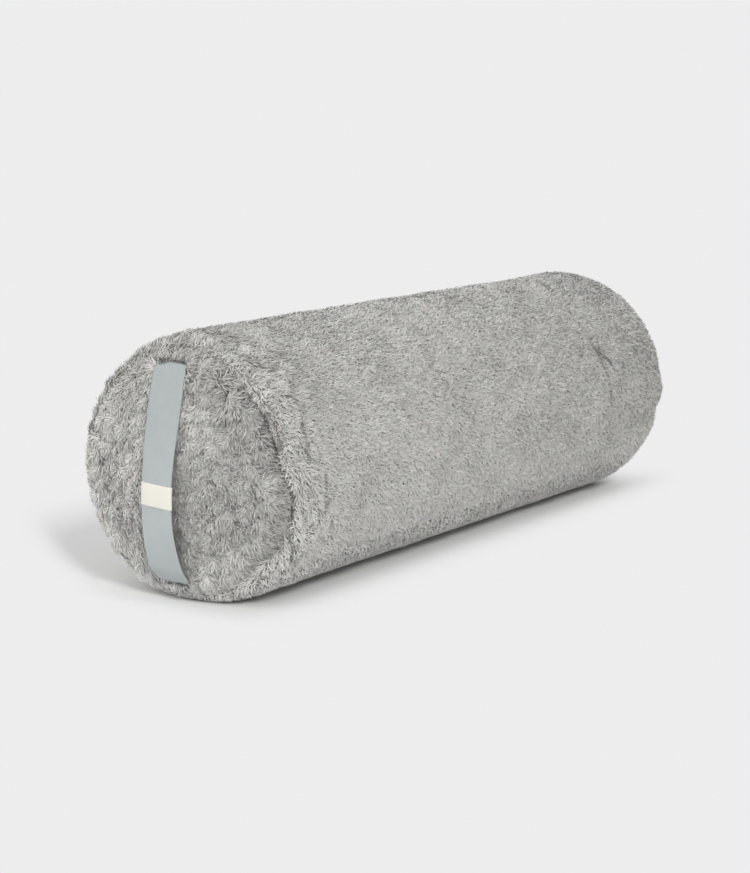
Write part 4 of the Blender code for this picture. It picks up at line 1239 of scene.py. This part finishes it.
def drawn_tube(name, points, thickness):
    """A tube of a few faces along a smooth path through points."""
    bpy.ops.object.select_all(action="DESELECT")
    bpy.ops.curve.primitive_nurbs_path_add(radius=1.0, location=(0.0, 0.0, 0.0))
    tube = bpy.context.object
    tube.name = name
    path = tube.data.splines[0]
    path.points.add(len(points) - len(path.points))
    for point, place in zip(path.points, points):
        point.co = (*place, 1.0)
    path.use_endpoint_u = True
    path.order_u = 3
    tube.data.resolution_u = 1
    tube.data.bevel_depth = thickness / 2.0
    tube.data.bevel_resolution = 1
    tube.data.use_fill_caps = True
    bpy.ops.object.convert(target="MESH")
    return bpy.context.object


def repeat_along(piece, pitch, start, stop):
    """Copies of a piece along X from start to stop."""
    row = piece.modifiers.new("row", "ARRAY")
    row.use_relative_offset = False
    row.use_constant_offset = True
    row.constant_offset_displace = (pitch, 0.0, 0.0)
    row.count = int((stop - start) / pitch)
    finish_modifiers(piece)


def parted(places, side):
    """Zip places of the closed chain, moved apart where the slider holds it open."""
    inside = falling(places[:, 0], -0.2196, 0.0075)
    places[:, 1] = side * (places[:, 1] + 0.0023 * eased(inside))
    return places


nylon = Finish("zip_nylon", {"Roughness": 0.35, "Specular IOR Level": 0.45})
nylon_mist = nylon.noise(nylon.place(), 500.0, 3.0)
nylon.colour(nylon_mist, (0.3, (0.36, 0.38, 0.385)), (0.7, (0.50, 0.52, 0.52)))
nylon.feed("Roughness", nylon_mist * 0.25 + 0.25)

thread = Finish("sewing_thread", {"Roughness": 0.7, "Specular IOR Level": 0.3})
thread_at = thread.place()
ply = ((thread.part(thread_at, 0) + thread.part(thread_at, 2)) * 9000.0).wave()
thread.colour(ply * 0.5 + 0.5, (0.0, (0.42, 0.42, 0.41)), (1.0, (0.62, 0.62, 0.60)))
thread.bump(ply, 0.5, 0.0001)

zip_pieces = {}
for side, word in ((-1.0, "upper"), (1.0, "lower")):
    tape, row, across = new_grid("tape_" + word, 200, 12)
    along = -TAPE_HALF_LENGTH + 2.0 * TAPE_HALF_LENGTH * row / 199.0
    across = TAPE_EDGE + (TAPE_WIDTH - TAPE_EDGE) * (across + 1.0) / 2.0
    cord = 0.00018 * np.exp(-(((across - 0.0008) / 0.0006) ** 2))
    ripple = 0.00008 * np.sin(along * 900.0) * (across / TAPE_WIDTH)
    flat = np.stack([along, side * across, TAPE_MIDDLE_OUT + cord + ripple], 1)
    set_positions(tape, from_zip(flat))
    lay_map(tape, across, along)
    thicken(tape, 0.0005, 0.0, 0.00012)
    zip_cloth.dress(tape)

    coil = drawn_tube("coil_" + word, [(LOOP_PITCH * step, across / 1000.0, 0.09960 + out / 1000.0)
                                       for step, across, out in LOOP], 0.00058)
    repeat_along(coil, LOOP_PITCH, CHAIN_START, CHAIN_STOP)
    places = positions(coil)
    places[:, 0] += CHAIN_START + (LOOP_PITCH / 2.0 if side > 0.0 else 0.0)
    set_positions(coil, from_zip(parted(places, side)))
    nylon.dress(coil)

    sewing = drawn_tube("coil_sewing_" + word, [(0.0, 0.0021, 0.1006), (0.0002, 0.0021, 0.1011),
                                                (0.0008, 0.0021, 0.1012), (0.0014, 0.0021, 0.1011),
                                                (0.0016, 0.0021, 0.1006)], 0.00035)
    repeat_along(sewing, LOOP_PITCH, CHAIN_START, CHAIN_STOP)
    places = positions(sewing)
    places[:, 0] += CHAIN_START
    set_positions(sewing, from_zip(parted(places, side)))
    thread.dress(sewing)
    select_only(coil)
    sewing.select_set(True)
    bpy.ops.object.join()

    stitch = drawn_tube("stitch_" + word, [(0.0, 0.0, -0.0003), (0.0002, 0.0, 0.0), (0.0014, 0.0, 0.0001),
                                           (0.0025, 0.0, 0.0), (0.0027, 0.0, -0.0003)], 0.0005)
    repeat_along(stitch, 0.0030, -SLOT_END, SLOT_END)
    places = positions(stitch)
    places += (-SLOT_END, side * 0.0115, 0.0979)
    set_positions(stitch, from_zip(places))
    thread.dress(stitch)
    zip_pieces[word] = (tape, coil, stitch)
print("faces in one coil:", len(coil.data.polygons))

# %% [markdown]
# The metal of the zip is plated. The slider and its puller are the CAD model's own, with their edges rounded.
# The small clamps that stop the slider at the open end move apart with the tapes, so they are modelled here.

# %% Plate the zip's metal and clamp its ends
plating = Finish("nickel_plating", {"Metallic": 1.0, "Roughness": 0.3})
plating_at = plating.place()
scuffs = plating.noise(plating_at, 900.0, 5.0)
stretched_at = plating.node("Mapping", {"Vector": plating_at, "Scale": (300.0, 4000.0, 4000.0)})
brushing = plating.noise(stretched_at, 1.0, 2.0)
plating.colour(scuffs, (0.3, (0.50, 0.49, 0.47)), (0.7, (0.70, 0.69, 0.67)))
plating.feed("Roughness", scuffs * 0.30 + brushing * 0.15 + 0.12)
plating.bump(brushing, 0.15, 0.0001)


def clamp(name, low, high):
    """A small folded metal clamp that fills a box of zip places."""
    bpy.ops.object.select_all(action="DESELECT")
    bpy.ops.mesh.primitive_cube_add(size=2.0, location=(0.0, 0.0, 0.0))
    piece = bpy.context.object
    piece.name = name
    bpy.ops.object.mode_set(mode="EDIT")
    bpy.ops.mesh.select_all(action="SELECT")
    bpy.ops.mesh.subdivide(number_cuts=4)
    bpy.ops.object.mode_set(mode="OBJECT")
    places = positions(piece)
    places[:, 1:] *= (1.0 - 0.14 * hump(places[:, 0], 0.25))[:, None]
    low, high = np.array(low), np.array(high)
    set_positions(piece, from_zip((low + high) / 2.0 + places * (high - low) / 2.0))
    round_edges(piece, 0.00035, segments=3)
    finish_modifiers(piece)
    plating.dress(piece)
    return piece


upper_clamp = clamp("top_clamp_upper", (-0.2300, -0.0053, 0.0993), (-0.2274, -0.0032, 0.1017))
lower_clamp = clamp("top_clamp_lower", (-0.2300, 0.0032, 0.0993), (-0.2274, 0.0053, 0.1017))
end_clamp = clamp("bottom_clamp", (0.2303, -0.0030, 0.0993), (0.2329, 0.0030, 0.1017))
for node in ("zip_slider", "zip_puller"):
    plating.dress(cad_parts[node])
    round_edges(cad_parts[node], 0.0002, sharper_than=40.0)
print("metal pieces:", upper_clamp.name, lower_clamp.name, end_clamp.name)

# %% [markdown]
# Inside the cover lies the case that holds the stuffing: a tube of cotton with a round panel in each end, and
# the stuffing itself. They show only through the open zip. A bound edge finishes each of the cover's seams
# inside. They are rolled up like the cover, each a little smaller than what it lies in.

# %% Fill the case
CASE_ROLL = [(0.0200, 0.0760), (0.0150, 0.0765), (0.0138, 0.0800), (0.0150, 0.0850), (0.0200, 0.0895),
             (0.0280, 0.0920), (0.0400, 0.0932)]
CASE_RIM = [(0.0200, 0.0745), (0.0155, 0.0740), (0.0135, 0.0715)]
STUFFING_RIM = [(0.0420, 0.0918), (0.0280, 0.0900), (0.0200, 0.0868), (0.0165, 0.0800), (0.0160, 0.0700)]
BINDING = [(0.0110, 0.0893), (0.0052, 0.0914), (0.0045, 0.0920), (0.0052, 0.0926), (0.0112, 0.0908)]
GATHERED_BINDING = [(depth + 0.0055, radius - 0.0020) for depth, radius in BINDING]


def between(front, rear, rows):
    """An outline from a front end to a rear one, with straight rows between."""
    start, stop = front[-1], rear[-1]
    rise = np.linspace(0.0, 1.0, rows)[1:-1]
    return front + [(start[0] + (stop[0] - start[0]) * t, start[1]) for t in rise] + rear[::-1]


def inner_cloth(name, outline, gathered_outline, lift):
    """A rolled cloth inside the cover, with its map in metres."""
    cloth = rolled_cloth(name, outline, gathered_outline, 96, 1.5, lift)
    places = positions(cloth)
    relief = 0.0008 * drift(places, 0.05, 41) + 0.0005 * drift(places, 0.018, 42)
    relief *= np.clip((places[:, 2] - lift - 0.001) / 0.01, 0.0, 1.0)
    set_positions(cloth, places + directions(cloth) * relief[:, None])
    flat = laid(cloth)
    lay_map(cloth, flat[:, 1], flat[:, 0])
    cloth.data.attributes.remove(cloth.data.attributes[LAID])
    return cloth


case_line = through_points(CASE_ROLL, 16)
case_tube = between(placed(case_line, FRONT_SEAM, 1.0), placed(case_line, REAR_SEAM, -1.0), 60)
case_body = inner_cloth("case_body", case_tube, case_tube, 0.0042)
panel_line = with_crown(CASE_RIM, 18, CROWN_HEIGHT - 0.0075)
case_front = inner_cloth("case_front", *[placed(panel_line, FRONT_SEAM, 1.0)] * 2, 0.0042)
case_rear = inner_cloth("case_rear", *[placed(panel_line, REAR_SEAM, -1.0)] * 2, 0.0042)
stuffing_line = with_crown(STUFFING_RIM, 18, CROWN_HEIGHT - 0.0095)[::-1]
stuffing_tube = between(placed(stuffing_line, FRONT_SEAM, 1.0), placed(stuffing_line, REAR_SEAM, -1.0), 60)
stuffing = inner_cloth("stuffing", stuffing_tube, stuffing_tube, 0.0056)
front_bound = inner_cloth("front_bound_edge", placed(BINDING, FRONT_SEAM, 1.0),
                          placed(GATHERED_BINDING, FRONT_SEAM, 1.0), 0.0042)
rear_bound = inner_cloth("rear_bound_edge", *[placed(BINDING, REAR_SEAM, -1.0)] * 2, 0.0042)

fluff = Finish("fibre_filling", {"Roughness": 0.95, "Sheen Weight": 0.3})
clumps = fluff.noise(fluff.place(), 150.0, 6.0)
fluff.colour(clumps, (0.3, (0.62, 0.60, 0.55)), (0.7, (0.84, 0.83, 0.80)))
fluff.bump(clumps, 0.8, 0.002)
fluff.dress(stuffing)
for cloth in (case_body, case_front, case_rear):
    case_cloth.dress(cloth)
for cloth in (front_bound, rear_bound):
    zip_cloth.dress(cloth)
print("inner pieces:", case_body.name, case_front.name, case_rear.name, stuffing.name)

# %% [markdown]
# Each piece now takes the place of a part of the CAD model, which is hidden, and rides on the bolster's body.
# The zip's tapes, chains and top stops each get a mesh of their own.

# %% Ride and finish
PADDED = ((cover_body, "cover_body_panel"), (cover_front, "cover_front_panel"),
          (cover_rear, "cover_rear_panel"),
          (case_body, "liner_body"), (case_front, "liner_front_panel"), (case_rear, "liner_rear_panel"),
          (stuffing, "filling"))
PLAIN = ((handle, "handle_strap"), (label, "handle_label"), (front_bound, "front_seam_binding"),
         (rear_bound, "rear_seam_binding"), (end_clamp, "zip_bottom_stop"))
for piece, node in PADDED + PLAIN:
    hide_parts(node)
    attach(piece, "bolster")

# For each half of the open zip a pivot at the bottom stop and a lean are worked out, and its pieces ride on the
# bolster
SPREAD_TILT = math.radians(10.0)
pivot = from_zip(np.array([[0.2303, 0.0, TAPE_MIDDLE_OUT]]))[0]
for side, word, stop in ((-1.0, "upper", upper_clamp), (1.0, "lower", lower_clamp)):
    lean = (math.sin(SPREAD_TILT), side * math.cos(SPREAD_TILT) * math.sin(ZIP_ANGLE),
            -side * math.cos(SPREAD_TILT) * math.cos(ZIP_ANGLE))
    tape, coil, stitch = zip_pieces[word]
    for piece, node in ((tape, "zip_tape_"), (coil, "zip_teeth_"), (stop, "zip_top_stop_"),
                        (stitch, "zip_stitch_")):
        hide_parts(node + word)
        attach(piece, "bolster")
        if piece is not stitch:
            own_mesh(piece)
